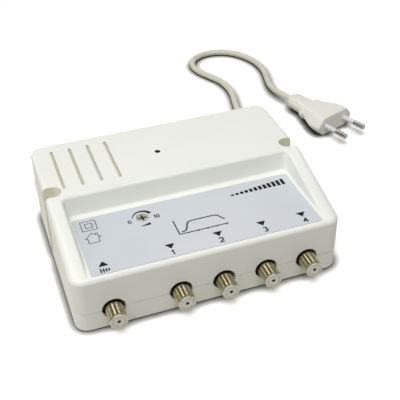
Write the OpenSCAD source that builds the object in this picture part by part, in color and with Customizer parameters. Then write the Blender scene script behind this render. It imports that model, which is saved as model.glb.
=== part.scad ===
// Aerial signal amplifier for televisions: a two-shell moulded case with one antenna
// socket, four television sockets, a gain control and a fixed mains cord with its plug.
// Millimetres. X runs along the socket row, Y to the back, Z up. The origin is the
// centre of the case's underside.

/* [Sockets] */
// Outside diameter of a socket's threaded barrel
socket_d = 9.5; // [9:0.1:10.5]
// How far a barrel stands out of the front wall
socket_reach = 10.4; // [8:0.1:14]
// Distance between neighbouring television sockets
socket_pitch = 24; // [20:0.5:30]
// Distance from the antenna socket to the first television socket
antenna_gap = 36; // [30:0.5:44]
// Diameter of the holes that the barrels pass through in the front wall
socket_hole_d = 12.5; // [11.8:0.1:13.5]
// Diameter of a socket's rear flange
flange_d = 11; // [10.4:0.1:11.4]
// Thickness of a socket's rear flange
flange_t = 2; // [1.2:0.1:3]
// Diameter of the bore that holds a socket's insulator
insulator_d = 6.6; // [5.8:0.1:7]

/* [Case] */
// Distance from an end socket's axis to the side of the case
end_margin = 20; // [19:0.5:26]
// Depth of the case, front wall to rear wall
case_d = 110; // [104:1:130]
// Height of the tall rear block
case_h = 46.5; // [44:0.5:56]
// Height of the front panel
panel_h = 33.8; // [31:0.2:36]
// Height of the parting line, which holds the socket axes
split_z = 12; // [11.5:0.1:13.5]
// Height of the shadow gap along the parting line
seam_h = 0.4; // [0.2:0.1:0.8]
// Depth of the shadow gap along the parting line
seam_depth = 0.4; // [0.2:0.1:0.6]
// Thickness of the case walls
wall = 2.2; // [1.6:0.1:2.6]
// Radius of the upright corners
corner_r = 7; // [5.5:0.5:9]
// Radius of the rear block's top edges
top_edge_r = 2.5; // [1.5:0.1:2.7]
// Radius of the panel's front edge
front_edge_r = 3; // [2:0.1:3.4]
// Radius of the base's bottom edge
foot_edge_r = 1.2; // [0.6:0.1:1.6]

/* [Front recess] */
// Depth of the tall rear block
block_d = 55.7; // [52:0.1:60]
// Width of the side rims at their tops
rim_w = 8.2; // [7.5:0.1:9.5]
// How far the recess walls lean from top to floor
recess_lean = 1.2; // [0.4:0.1:2]
// Radius where the recess walls meet the floor
recess_fillet = 1.6; // [1:0.1:2.4]
// Radius of the recess's upright corners
recess_corner_r = 3; // [2.6:0.1:5]
// Radius of the recess's top edges
recess_edge_r = 1.4; // [0.6:0.1:1.8]
// Thickness of the panel label
label_t = 0.4; // [0.2:0.1:0.8]
// Bare strip between the step and the label
label_gap = 2.5; // [1:0.1:6]
// Bare strip between the label and the front wall
label_inset = 2.4; // [2.2:0.1:6]

/* [Grooves] */
// Number of grooves in the rear block's top
groove_count = 4; // [1:1:6]
// Distance between grooves
groove_pitch = 10.5; // [6:0.5:14]
// Width of a groove
groove_w = 1.6; // [0.8:0.1:3]
// Depth of a groove
groove_depth = 1.2; // [0.4:0.1:1.4]
// Length of a groove
groove_len = 38.3; // [20:0.1:42]
// Distance from the case side to the first groove
groove_inset = 11.6; // [8:0.1:18]
// Distance from the rear wall to the grooves
groove_rear = 8.8; // [5:0.1:12]

/* [Indicator] */
// Diameter of the indicator lamp
led_d = 3; // [2:0.1:5]
// Place of the lamp along the case, from the centre
led_x = -4.5; // [-10:0.5:2]
// Distance of the lamp from the rear wall
led_rear = 30.3; // [22:0.1:38]
// How far the lamp's tip lies below the top
led_sink = 0; // [0:0.1:1.8]

/* [Gain control] */
// Place of the gain control along the case, from the centre
trimmer_x = -26.3; // [-29:0.1:-20]
// Distance of the gain control in front of the step
trimmer_offset = 15.5; // [12:0.1:24]
// Diameter of the turning spindle
rotor_d = 6.2; // [5:0.1:7]
// Side of the square control body
trimmer_size = 9.5; // [8.5:0.1:11]
// Height of the control body
trimmer_h = 5; // [3.5:0.1:7]
// Width of the screwdriver slots
slot_w = 1.1; // [0.8:0.1:1.6]
// Depth of the screwdriver slots
slot_depth = 1.4; // [0.8:0.1:2.5]

/* [Wall fixing] */
// Diameter of the upright screw channels in the sides
channel_d = 9.2; // [8:0.1:10]
// Distance from the case side to a channel's axis
channel_inset = 5; // [4.6:0.1:6]
// Distance of the channels behind the step
channel_offset = 7.5; // [6.5:0.1:12]
// Diameter of the wall screw holes
wall_screw_d = 4.2; // [3:0.1:5]
// Thickness under a wall screw's head
seat_t = 3; // [2:0.1:5]

/* [Fastening] */
// Distance from the case side to the case screws
screw_inset = 7; // [6.8:0.1:7.4]
// Distance from the front and rear walls to the case screws
screw_end = 11; // [9.5:0.1:14]
// Diameter of a case screw's shank
screw_d = 2.8; // [2.2:0.1:3.2]
// How far a case screw enters the cover
screw_bite = 9; // [6:0.5:12]
// Diameter of a board screw's shank
board_screw_d = 2; // [1.6:0.1:2.5]

/* [Board] */
// Thickness of the base's floor
floor_t = 2.2; // [1.6:0.1:2.6]
// Height of the board's standoffs
standoff_h = 3.8; // [3:0.1:4.2]
// Thickness of the circuit board
board_t = 1.6; // [1:0.1:2]
// Thickness of the screening sheet
sheet_t = 0.5; // [0.3:0.1:0.8]
// Room between the screening lid and the panel
lid_gap = 3.6; // [2:0.1:6]

/* [Transformer] */
// Width of the core's outer legs
core_leg = 6.4; // [5:0.1:7]
// Width of a core window
window_w = 6.2; // [5:0.1:7]
// Height of a core window
window_h = 19.2; // [14:0.1:20]
// Thickness of the lamination stack
core_stack = 14; // [10:0.5:18]
// Thickness of the bobbin's walls
bobbin_t = 1; // [0.6:0.1:1.2]

/* [Cord] */
// Diameter of the mains cord
cord_d = 4.5; // [4.3:0.1:4.6]
// Length of the strain relief outside the case
boot_len = 24; // [20:0.5:28]
// Diameter of the strain relief at the case
boot_d = 9.6; // [8:0.1:11]
// Distance from the case side to the cord's axis
gland_inset = 14; // [13:0.1:18]
// Width of the tie round the hank
tie_w = 4; // [2:0.5:8]
// Thickness of the tie
tie_t = 0.8; // [0.4:0.1:0.9]

/* [Plug] */
// Width of the plug's face
plug_w = 35.3; // [32:0.1:38]
// Thickness of the plug
plug_t = 13.7; // [12:0.1:15]
// Length of the plug's flared body
plug_body_len = 25; // [22:0.5:30]
// Length of the plug's neck
plug_neck_len = 18.6; // [14:0.1:24]
// Diameter of a plug pin
pin_d = 4; // [3.6:0.1:4.4]
// How far a pin stands out of the face
pin_len = 19; // [16:0.5:21]
// Distance between the pins
pin_pitch = 18.6; // [17:0.1:19.5]
// Length of a pin's insulating sleeve
sleeve_len = 10; // [8:0.5:12]

/* [Hidden] */
$fn = 48;

// Room that a cut reaches past the face it opens
over = 1;
// Clearance of pieces that sit in one another
fit = 0.1;
// Clearance of a turning fit
running = 0.08;
// Clearance of a loose fit
slack = 0.3;
// Facets of a hull's round children
hull_fn = 32;

// Outline of the case, from the socket row
tv_count = 4;
row_half = (antenna_gap + (tv_count - 1) * socket_pitch) / 2;
half_w = row_half + end_margin;
half_d = case_d / 2;
function socket_x(i) = i == 0 ? -row_half : -row_half + antenna_gap + (i - 1) * socket_pitch;
step_y = half_d - block_d;
recess_top_half = half_w - rim_w;
recess_floor_half = recess_top_half - recess_lean;
step_foot_y = step_y - recess_lean;
// The rims run out this far above the panel, at its front edge
rim_crown = 0.25;
rim_fall = (case_h - panel_h - rim_crown) / (step_y + half_d - front_edge_r);

// Panel label
label_half = recess_floor_half - recess_fillet;
label_rear_y = step_foot_y - recess_fillet - label_gap;
label_front_y = -half_d + label_inset;
label_corner_r = 1.5;

// Sides and fastening places
channel_r = channel_d / 2;
channel_x = half_w - channel_inset;
channel_y = step_y + channel_offset;
channel_wall = 1.8;
screw_x = half_w - screw_inset;
screw_y = half_d - screw_end;
pillar_r = 4.2;
boss_r = 3.2;
head_r = 2.9;
head_h = 2.3;
head_seat_z = 3;
lip_t = 1.2;
lip_h = 1.6;
lip_fit = 0.15;

// Board and screening, from the sockets back
flange_r = flange_d / 2;
spigot_r = insulator_d / 2 + 0.6;
spigot_len = 2;
flange_front_y = -half_d + wall + slack;
shield_front_y = flange_front_y + flange_t;
shield_half = row_half + flange_r + 1;
trimmer_y = step_y - trimmer_offset;
shield_rear_y = trimmer_y + trimmer_size / 2 + 2;
board_z = floor_t + standoff_h;
board_top = board_z + board_t;
board_half = shield_half + sheet_t + slack;
board_rear_y = half_d - wall - 2.8;
board_hole_x = board_half - 6;
board_holes_y = [shield_rear_y + 5, board_rear_y - 5];
shield_top = panel_h - wall - lid_gap - sheet_t;
lid_skirt = 3;
standoff_r = 3;

// Gain control
rotor_r = rotor_d / 2;
rotor_foot_z = board_top + 1;
rotor_top_z = panel_h + label_t - 0.2;

// Indicator lamp
led_y = half_d - led_rear;
led_r = led_d / 2;
led_tip_z = case_h - led_sink;
led_len = 5;
led_lead_r = 0.3;
led_lead_gap = 1.27;

// Transformer, beside the rear left corner
core_w = 4 * core_leg + 2 * window_w;
core_h = 2 * core_leg + window_h;
transformer_inset = 4;
transformer_x = -board_half + transformer_inset + core_w / 2;
transformer_y = board_rear_y - 26;
bobbin_in_x = core_leg + fit;
bobbin_in_y = core_stack / 2 + fit;
bobbin_out_x = core_leg + window_w - slack;
bobbin_out_y = core_stack / 2 + window_w - slack;
bobbin_foot_z = board_top + core_leg + fit;
bobbin_h = window_h - 2 * fit;
chamber_h = (bobbin_h - 3 * bobbin_t) / 2;

// Loose components, placed from the board's rear and right-hand edges
capacitor_r = 5;
capacitor_h = 16;
capacitor_crimp = 0.4;
capacitor_x = board_half - 52;
regulator_w = 10;
regulator_t = 4.4;
regulator_h = 9;
regulator_lift = 3;
regulator_tab_t = 1.3;
regulator_tab_h = 6.4;
regulator_leg_w = 0.8;
regulator_leg_t = 0.6;
regulator_leg_pitch = 2.54;
regulator_x = board_half - 35;
supply_y = board_rear_y - 13;
fuse_r = 4.2;
fuse_h = 7.2;
fuse_edge = 0.6;
fuse_x = board_half - 17;
diode_r = 1.35;
diode_len = 5.2;
diode_pitch = 5;
diode_x = board_half - 49;
diode_y = shield_rear_y + 18;
ferrite_w = 7;
ferrite_d = 5;
ferrite_h = 5;
ferrite_hole_r = 0.9;
ferrite_hole_x = 1.6;
ferrite_y = shield_front_y + 14;
transistor_r = 2.4;
transistor_h = 4.8;
transistor_flat = 1.3;
transistor_y = shield_front_y + 16;
transistor_inset = 6;

// Cord outlet in the rear wall
gland_x = half_w - gland_inset;
gland_flange_r = 6.2;
gland_flange_t = 2;
gland_neck_r = 4.9;
gland_inner_y = half_d - wall - fit - gland_flange_t;
gland_end_y = half_d + boot_len;

// Direction of a path at its point i
function unit(v) = v / norm(v);
function heading(p, i) =
    i == 0 ? unit(p[1] - p[0])
    : i == len(p) - 1 ? unit(p[i] - p[i - 1])
    : unit(unit(p[i + 1] - p[i]) + unit(p[i] - p[i - 1]));

// Mains cord. It lies on the surface that the case stands on.
cord_r = cord_d / 2;
floor_z = cord_r;
cord_sides = 8;
lead_r = 0.9;

// Hank behind the case: six runs along X with five folds, in two layers
hank_x = -8;
hank_y = 82;
hank_run = 80;
hank_fold_r = 13.5;
hank_step = 5.6;
hank_rise = 5;
hank_draw = 10;
hank_lift = 1;
hank_turn_run = 3;
hank_runs = 2 * hank_turn_run;
run_parts = 6;
fold_parts = 6;
hank_sides = 6;
hank_wide_r = hank_fold_r + 1.25 * hank_step;

// Radius, side, heading and height of run k of the hank
function run_r(k) = hank_wide_r - hank_step / 2 * (k <= hank_turn_run ? k : 2 * hank_turn_run - k);
function run_side(k) = k % 2 == 0 ? 1 : -1;
function run_z(k) = floor_z + (k > hank_turn_run ? hank_rise : 0);
// The tie draws the runs in and lifts them off the floor, most at mid run
function waist(t) = (1 - cos(360 * t)) / 2;
function climb(k, t) = k == hank_turn_run ? hank_rise * (1 - cos(180 * t)) / 2 : 0;
function run_point(k, t) = [
    hank_x - run_side(k) * (t - 0.5) * hank_run,
    hank_y + run_side(k) * (run_r(k) - hank_draw * waist(t)),
    run_z(k) + climb(k, t) + hank_lift * waist(t)
];
function fold_point(k, a) = let (r = (run_r(k) + run_r(k + 1)) / 2) [
    hank_x - run_side(k) * (hank_run / 2 + r * sin(a)),
    hank_y + run_side(k) * ((run_r(k) - run_r(k + 1)) / 2 + r * cos(a)),
    run_z(k + 1 > hank_turn_run ? k + 1 : k)
];
hank_path = [
    for (k = [0 : hank_runs - 1]) each concat(
        [for (i = [0 : run_parts - 1]) run_point(k, i / run_parts)],
        k == hank_runs - 1
            ? [run_point(k, 1)]
            : [for (i = [0 : fold_parts - 1]) fold_point(k, 180 * i / fold_parts)]
    )
];
hank_start = hank_path[0];
hank_end = hank_path[len(hank_path) - 1];

// Least gap of the hank to itself, from points to the stretches of other turns
function stretch_gap(p, a, b) = let (
    d = b - a,
    t = max(0, min(1, (p - a) * d / (d * d)))
) norm(p - a - t * d);
function least_gap(path, skip) = min([
    for (i = [0 : len(path) - 1], j = [0 : len(path) - 2])
        if (abs(i - j) > skip && abs(i - j - 1) > skip) stretch_gap(path[i], path[j], path[j + 1])
]);
echo(hank_least_gap = least_gap(hank_path, run_parts + 1) - cord_d);

// Plug on the surface, turned so that its pins point forwards
plug_at = [126.2, 115.8];
plug_turn = 20;
plug_mid_z = plug_t / 2;
plug_back = [-sin(plug_turn), cos(plug_turn), 0];
plug_entry = [plug_at.x, plug_at.y, plug_mid_z];
plug_face_y = -plug_neck_len - plug_body_len;
pin_root = 6;
pin_r = pin_d / 2;
pin_root_r = pin_r - 0.5;
pin_neck_r = pin_r - 0.8;
sleeve_r = pin_r - 0.3;

// Routes of the cord's free stretches
case_lead_path = concat(
    [[gland_x, gland_end_y, split_z], [gland_x, gland_end_y + cord_d, split_z]],
    [
        [59.2, 90, 11.2], [56.4, 96.5, 9.3], [51.2, 101.2, 6.6], [44.8, 103.4, 4]
    ],
    [hank_start - cord_d * heading(hank_path, 0), hank_start]
);
plug_lead_path = concat(
    [hank_end, hank_end + cord_d * heading(hank_path, len(hank_path) - 1)],
    [
        [43, 62.7, 6.5], [51, 62, 4.9], [59, 62, 3.4], [67, 63.3, 2.4],
        [75, 67.5, floor_z], [81.5, 75, floor_z], [85, 85, floor_z], [86, 97, floor_z],
        [85.5, 110, floor_z], [86, 122, floor_z], [88.5, 134, floor_z], [91, 145, floor_z],
        [92, 157, floor_z], [90, 169.5, floor_z], [84.5, 181, floor_z],
        [79.5, 192.5, floor_z], [79, 204, floor_z], [85, 214.5, floor_z],
        [96, 219.5, floor_z], [108.5, 218, floor_z], [119, 210.5, floor_z],
        [126, 199.5, floor_z], [129.5, 187, floor_z], [129.6, 175, floor_z],
        [127.4, 164, floor_z], [124.8, 154, 2.6], [122.9, 144, 3.8], [122.3, 134, 5.4]
    ],
    [plug_entry + cord_d * plug_back, plug_entry]
);
function path_length(p) = len(p) < 2 ? 0 : [for (i = [1 : len(p) - 1]) norm(p[i] - p[i - 1])]
    * [for (i = [1 : len(p) - 1]) 1];
echo(cord_length = boot_len + path_length(case_lead_path) + path_length(hank_path)
    + path_length(plug_lead_path));

// Swept and lofted skins

// A ring of n points square to the path, with a flat side down
function ring(p, i, r, n, up) = let (
    t = heading(p, i),
    s = unit(cross(up, t)),
    b = cross(t, s),
    turn = n % 4 == 0 ? 180 / n : 0
) [for (k = [0 : n - 1]) p[i] + r * (cos(360 * k / n + turn) * s + sin(360 * k / n + turn) * b)];

// Skin over a row of rings with equal numbers of points
module skin(rings) {
    n = len(rings[0]);
    last = (len(rings) - 1) * n;
    sides = [
        for (i = [0 : len(rings) - 2], k = [0 : n - 1]) let (
            a = i * n + k,
            b = i * n + (k + 1) % n
        ) each [[a, a + n, b], [b, a + n, b + n]]
    ];
    caps = [for (k = [1 : n - 2]) each [[0, k, k + 1], [last, last + k + 1, last + k]]];
    polyhedron([for (r = rings) each r], concat(sides, caps));
}

module tube(path, r, n, up = [0, 0, 1]) {
    skin([for (i = [0 : len(path) - 1]) ring(path, i, r, n, up)]);
}

// Shared shapes

module rounded_rect(w, d, r) {
    square([w - 2 * r, d], center = true);
    square([w, d - 2 * r], center = true);
    for (x = [-1, 1], y = [-1, 1]) translate([x * (w / 2 - r), y * (d / 2 - r)]) circle(r);
}

module rounded_plate(w, d, h, r) {
    linear_extrude(h) rounded_rect(w, d, r);
}

// Disc with a rounded top edge, its top at z = 0
module puck(r, edge) {
    rotate_extrude($fn = hull_fn) intersection() {
        union() {
            translate([r - edge, -edge]) circle(edge);
            translate([0, -2 * edge]) square([r - edge, 2 * edge]);
        }
        translate([0, -2 * edge]) square([r, 2 * edge]);
    }
}

// The four places, mirrored in X and Y
module at_corners(x, y) {
    for (sx = [-1, 1], sy = [-1, 1]) translate([sx * x, sy * y, 0]) children();
}

// Turns a shape's +Z to the front, at height z
module facing_front(x, y, z) {
    translate([x, y, z]) rotate([90, 0, 0]) children();
}

// Turns a shape's +Z to the back, at height z
module facing_back(x, y, z) {
    translate([x, y, z]) rotate([-90, 0, 0]) children();
}

// Side profile in Y and Z, extruded along X between two places
module side_extrude(x0, x1) {
    translate([x0, 0, 0]) rotate([90, 0, 90]) linear_extrude(x1 - x0) children();
}

// Shapes that both shells share

module wall_holes() {
    for (i = [0 : tv_count])
        facing_front(socket_x(i), shield_front_y - fit, split_z)
            cylinder(d = socket_hole_d, h = shield_front_y + half_d + over);
    facing_back(gland_x, half_d - wall - over, split_z)
        cylinder(r = gland_neck_r + fit, h = wall + 2 * over);
    facing_back(gland_x, gland_inner_y - fit, split_z)
        cylinder(r = gland_flange_r + slack, h = gland_flange_t + 2 * fit);
}

module screw_channels(z0) {
    for (s = [-1, 1]) translate([s * channel_x, channel_y, z0]) {
        cylinder(r = channel_r, h = case_h);
        translate([s * channel_inset, 0, case_h / 2])
            cube([2 * channel_inset, channel_d, case_h], center = true);
    }
}

module channel_walls(z0, z1) {
    for (s = [-1, 1])
        translate([s * channel_x, channel_y, z0]) cylinder(r = channel_r + channel_wall, h = z1 - z0);
}

// Case

module base_form() {
    hull() at_corners(half_w - corner_r, half_d - corner_r) {
        mirror([0, 0, 1]) puck(corner_r, foot_edge_r);
        translate([0, 0, split_z - seam_h - over]) cylinder(r = corner_r, h = over, $fn = hull_fn);
    }
    translate([0, 0, split_z - seam_h - over])
        rounded_plate(
            2 * (half_w - seam_depth), 2 * (half_d - seam_depth), seam_h + over, corner_r - seam_depth
        );
}

module base_lip() {
    lip_w = 2 * (half_w - wall);
    lip_d = 2 * (half_d - wall);
    lip_r = corner_r - wall;
    difference() {
        union() {
            translate([0, 0, split_z - 2]) rounded_plate(lip_w + fit, lip_d + fit, 2, lip_r);
            translate([0, 0, split_z - over])
                rounded_plate(lip_w - 2 * lip_fit, lip_d - 2 * lip_fit, over + lip_h, lip_r - lip_fit);
        }
        translate([0, 0, split_z - 2 - over])
            rounded_plate(
                lip_w - 2 * (lip_fit + lip_t), lip_d - 2 * (lip_fit + lip_t),
                2 + lip_h + 2 * over, lip_r - lip_fit - lip_t
            );
        for (s = [-1, 1]) translate([s * channel_x, channel_y, split_z])
            cylinder(r = channel_r + channel_wall + slack, h = lip_h + over);
    }
}

module base_shell() {
    color([0.91, 0.91, 0.88]) difference() {
        union() {
            difference() {
                base_form();
                translate([0, 0, floor_t])
                    rounded_plate(2 * (half_w - wall), 2 * (half_d - wall), split_z, corner_r - wall);
            }
            base_lip();
            intersection() {
                channel_walls(floor_t - over, split_z);
                rounded_plate(2 * half_w - wall, case_d, split_z, corner_r);
            }
            at_corners(screw_x, screw_y)
                translate([0, 0, floor_t - over])
                    cylinder(r = pillar_r, h = split_z - floor_t + over - fit);
            for (x = [-1, 1], y = board_holes_y)
                translate([x * board_hole_x, y, floor_t - over])
                    cylinder(r = standoff_r, h = standoff_h + over);
        }
        wall_holes();
        screw_channels(seat_t);
        for (s = [-1, 1]) translate([s * channel_x, channel_y, -over])
            cylinder(d = wall_screw_d, h = seat_t + 2 * over);
        at_corners(screw_x, screw_y) {
            translate([0, 0, -over]) cylinder(d = screw_d + 2 * slack, h = split_z + 2 * over);
            translate([0, 0, -over]) cylinder(r = head_r + slack, h = head_seat_z + over);
        }
        for (x = [-1, 1], y = board_holes_y)
            translate([x * board_hole_x, y, floor_t]) cylinder(d = board_screw_d + fit, h = split_z);
    }
}

module case_form() {
    corner_x = half_w - corner_r;
    corner_y = half_d - corner_r;
    hull() {
        at_corners(corner_x, corner_y)
            translate([0, 0, split_z]) cylinder(r = corner_r, h = over, $fn = hull_fn);
        for (s = [-1, 1]) {
            translate([s * corner_x, corner_y, case_h]) puck(corner_r, top_edge_r);
            translate([s * (half_w - top_edge_r), step_y, case_h - top_edge_r])
                sphere(top_edge_r, $fn = hull_fn);
            translate([s * corner_x, -corner_y, panel_h + rim_crown]) puck(corner_r, front_edge_r);
        }
    }
}

// Space inside the cover: rear block, front part and the hollows of the two rims
module cover_cavity() {
    intersection() {
        translate([0, 0, split_z - over])
            rounded_plate(2 * (half_w - wall), 2 * (half_d - wall), case_h, corner_r - wall);
        union() {
            side_extrude(-half_w, half_w) polygon([
                [half_d, split_z - over], [half_d, case_h - wall], [step_y + wall, case_h - wall],
                [step_y + wall, panel_h - wall], [-half_d, panel_h - wall], [-half_d, split_z - over]
            ]);
            rim_in = recess_top_half + wall;
            for (s = [0, 1]) mirror([s, 0, 0]) side_extrude(rim_in, half_w) polygon([
                [step_y + wall + over, panel_h - wall - over],
                [step_y + wall + over, case_h - wall],
                [step_y, case_h - wall - rim_fall],
                [-half_d + corner_r, case_h - wall - rim_fall * (1 + step_y + half_d - corner_r)],
                [-half_d + corner_r, panel_h - wall - over]
            ]);
        }
    }
}

// Pocket between the rims, open to the front, with leaning walls and a filleted floor
module recess_form() {
    r = recess_corner_r;
    hull() for (s = [-1, 1], rear = [0, 1]) {
        translate([s * (recess_floor_half - r), rear * (step_foot_y - r) - (1 - rear) * case_d, panel_h])
            mirror([0, 0, 1]) puck(r, recess_fillet);
        translate([s * (recess_top_half - r), rear * (step_y - r) - (1 - rear) * case_d, case_h])
            cylinder(r = r, h = over, $fn = hull_fn);
    }
}

// Outline of the pocket's mouth along the fall of the rims, let out by e and lowered by d
function mouth_ring(e, d, parts) = let (
    lean = recess_lean / (case_h - panel_h) * d,
    front_y = step_y - (case_h - d - panel_h - fit / 2) / rim_fall,
    narrowing = recess_lean * (step_y - front_y) / (step_y + half_d - front_edge_r),
    front_x = recess_top_half - narrowing - lean + e,
    r = recess_corner_r,
    corner = [for (i = [0 : parts]) let (a = 90 * i / parts) [
        recess_top_half - lean - r + (r + e) * cos(a), step_y - lean - r + (r + e) * sin(a)
    ]],
    outline = concat(
        [[front_x, front_y]], corner,
        [for (i = [0 : parts]) [-corner[parts - i].x, corner[parts - i].y]], [[-front_x, front_y]]
    )
) [for (p = outline) [p.x, p.y, case_h - d + rim_fall * (p.y - step_y)]];

// Rounds the pocket's top edge: the step, both rear corners and the sloping rims
module recess_edges() {
    layers = 6;
    r = recess_edge_r;
    rings = concat([mouth_ring(r, -slack, layers)], [
        for (i = [0 : layers]) let (a = 90 * i / layers)
            mouth_ring(r * (1 - sin(a)), r * (1 - cos(a)), layers)
    ]);
    n = len(rings[0]);
    last = n * (len(rings) - 1);
    sides = [for (k = [0 : len(rings) - 2], i = [0 : n - 1]) [n * k + i, n * k + (i + 1) % n]];
    polyhedron([for (ring = rings) each ring], concat(
        [for (i = [1 : n - 2]) [0, i + 1, i]],
        [for (i = [1 : n - 2]) [last, last + i, last + i + 1]],
        [for (s = sides) [s[0], s[1], n + s[1]]],
        [for (s = sides) [s[0], n + s[1], n + s[0]]]
    ));
}

module grooves() {
    for (i = [0 : groove_count - 1])
        translate([-half_w + groove_inset + i * groove_pitch, half_d - groove_rear, case_h - groove_depth])
            linear_extrude(groove_depth + over) {
                translate([-groove_w / 2, -groove_len + groove_w / 2])
                    square([groove_w, groove_len - groove_w]);
                for (y = [groove_w / 2, groove_len - groove_w / 2]) translate([0, -y]) circle(d = groove_w);
            }
}

module top_cover() {
    color([0.93, 0.93, 0.9]) difference() {
        union() {
            difference() {
                case_form();
                cover_cavity();
            }
            channel_walls(split_z, case_h - wall / 2);
            for (x = [-1, 1]) {
                translate([x * screw_x, screw_y, split_z + fit])
                    cylinder(r = boss_r, h = case_h - wall / 2 - split_z - fit);
                translate([x * screw_x, -screw_y, split_z + fit])
                    cylinder(r = boss_r, h = panel_h - wall / 2 - split_z - fit);
            }
        }
        recess_form();
        recess_edges();
        screw_channels(split_z - over);
        wall_holes();
        grooves();
        at_corners(screw_x, screw_y)
            translate([0, 0, split_z - over]) cylinder(d = screw_d + fit, h = screw_bite + 2 * over);
        translate([led_x, led_y, case_h - wall - over]) cylinder(r = led_r + fit, h = wall + 2 * over);
        translate([trimmer_x, trimmer_y, panel_h - wall - over])
            cylinder(r = rotor_r + slack, h = wall + 2 * over);
    }
}

module panel_label() {
    label_d = label_rear_y - label_front_y;
    color([0.81, 0.84, 0.87]) difference() {
        translate([0, label_front_y + label_d / 2, panel_h])
            rounded_plate(2 * label_half, label_d, label_t, label_corner_r);
        translate([trimmer_x, trimmer_y, panel_h - over])
            cylinder(r = rotor_r + slack, h = label_t + 2 * over);
    }
}

module case_screws() {
    color([0.6, 0.6, 0.62]) at_corners(screw_x, screw_y) {
        translate([0, 0, head_seat_z - head_h]) difference() {
            cylinder(r = head_r, h = head_h);
            for (a = [0, 90]) rotate(a) cube([2.6, 0.7, 2 * over], center = true);
        }
        translate([0, 0, head_seat_z]) cylinder(d = screw_d, h = split_z + screw_bite - head_seat_z);
    }
}

// Board and screening

module circuit_board() {
    color([0.15, 0.42, 0.25]) difference() {
        translate([-board_half, shield_front_y, board_z])
            cube([2 * board_half, board_rear_y - shield_front_y, board_t]);
        for (x = [-1, 1], y = board_holes_y)
            translate([x * board_hole_x, y, board_z - over])
                cylinder(d = board_screw_d + 2 * fit, h = board_t + 2 * over);
    }
}

module board_screws() {
    color([0.7, 0.7, 0.7]) for (x = [-1, 1], y = board_holes_y)
        translate([x * board_hole_x, y, board_top]) {
            cylinder(d = 2 * board_screw_d, h = 1.3);
            translate([0, 0, -board_t - standoff_h + over])
                cylinder(d = board_screw_d, h = board_t + standoff_h - over);
        }
}

module shield_frame() {
    depth = shield_rear_y - shield_front_y;
    partition_x = socket_x(0) + antenna_gap / 2;
    color([0.75, 0.76, 0.77]) difference() {
        translate([0, shield_front_y, board_top]) {
            difference() {
                translate([-shield_half, 0, 0]) cube([2 * shield_half, depth, shield_top - board_top]);
                translate([-shield_half + sheet_t, sheet_t, -over])
                    cube([2 * (shield_half - sheet_t), depth - 2 * sheet_t, shield_top]);
            }
            translate([partition_x, sheet_t / 2, 0])
                cube([sheet_t, depth - sheet_t, shield_top - board_top]);
        }
        for (i = [0 : tv_count])
            facing_front(socket_x(i), shield_front_y + sheet_t + over, split_z)
                cylinder(r = spigot_r + fit, h = sheet_t + 2 * over);
    }
}

module shield_lid() {
    depth = shield_rear_y - shield_front_y;
    color([0.8, 0.81, 0.82]) difference() {
        translate([-shield_half - sheet_t - fit, shield_front_y + sheet_t, shield_top - lid_skirt])
            cube([2 * (shield_half + sheet_t + fit), depth + fit, lid_skirt + sheet_t]);
        translate([-shield_half - fit, shield_front_y, shield_top - lid_skirt - over])
            cube([2 * (shield_half + fit), depth + fit, lid_skirt + over]);
        translate([trimmer_x, trimmer_y, shield_top - over])
            cylinder(r = rotor_r + slack, h = sheet_t + 2 * over);
    }
}

// Sockets

module socket(i) {
    tip = shield_front_y + half_d + socket_reach;
    thread = shield_front_y + half_d + 0.4;
    chamfer = 0.45;
    barrel_r = socket_d / 2;
    color([0.72, 0.71, 0.66]) facing_front(socket_x(i), shield_front_y, split_z) rotate_extrude() polygon([
        [insulator_d / 2, -spigot_len], [spigot_r, -spigot_len], [spigot_r, 0],
        [flange_r, 0], [flange_r, flange_t],
        [barrel_r - 0.25, flange_t], [barrel_r - 0.25, thread],
        [barrel_r, thread], [barrel_r, tip - chamfer],
        [barrel_r - chamfer, tip], [insulator_d / 2, tip]
    ]);
}

contact_r = 0.5;
contact_sink = 3;
entry_r = 0.95;
insulator_tail = 1;

module socket_insulators() {
    h = shield_front_y + half_d + socket_reach - slack;
    color([0.82, 0.82, 0.78]) for (i = [0 : tv_count])
        facing_front(socket_x(i), shield_front_y + spigot_len + insulator_tail, split_z) difference() {
            cylinder(r = insulator_d / 2 - fit / 2, h = h + spigot_len + insulator_tail);
            translate([0, 0, -over])
                cylinder(r = contact_r + fit, h = h + spigot_len + insulator_tail + 2 * over);
            translate([0, 0, h + spigot_len + insulator_tail - contact_sink])
                cylinder(r = entry_r, h = contact_sink + over);
        }
}

module socket_contacts() {
    tail = spigot_len + insulator_tail + 4;
    h = shield_front_y + half_d + socket_reach - slack - contact_sink;
    color([0.78, 0.66, 0.35]) for (i = [0 : tv_count])
        facing_front(socket_x(i), shield_front_y + tail, split_z) cylinder(r = contact_r, h = h + tail);
}

// Gain control

module gain_trimmer_body() {
    color([0.2, 0.3, 0.6]) translate([trimmer_x, trimmer_y, board_top]) difference() {
        translate([-trimmer_size / 2, -trimmer_size / 2, 0]) cube([trimmer_size, trimmer_size, trimmer_h]);
        translate([0, 0, over - fit]) cylinder(r = rotor_r + running, h = trimmer_h + over);
    }
}

module gain_trimmer_rotor() {
    slot_len = 0.74 * rotor_d;
    color([0.8, 0.8, 0.74]) translate([trimmer_x, trimmer_y, 0]) difference() {
        translate([0, 0, rotor_foot_z]) cylinder(r = rotor_r, h = rotor_top_z - rotor_foot_z);
        translate([0, 0, rotor_top_z]) {
            cube([slot_len, slot_w, 2 * slot_depth], center = true);
            cube([slot_w, slot_len, 2 * slot_depth], center = true);
        }
    }
}

// Indicator lamp

module power_led() {
    rim_r = led_r + 0.4;
    color([0.12, 0.3, 0.14]) translate([led_x, led_y, led_tip_z - led_len]) {
        cylinder(r = rim_r, h = over);
        cylinder(r = led_r, h = led_len - led_r);
        translate([0, 0, led_len - led_r]) sphere(led_r);
    }
}

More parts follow.
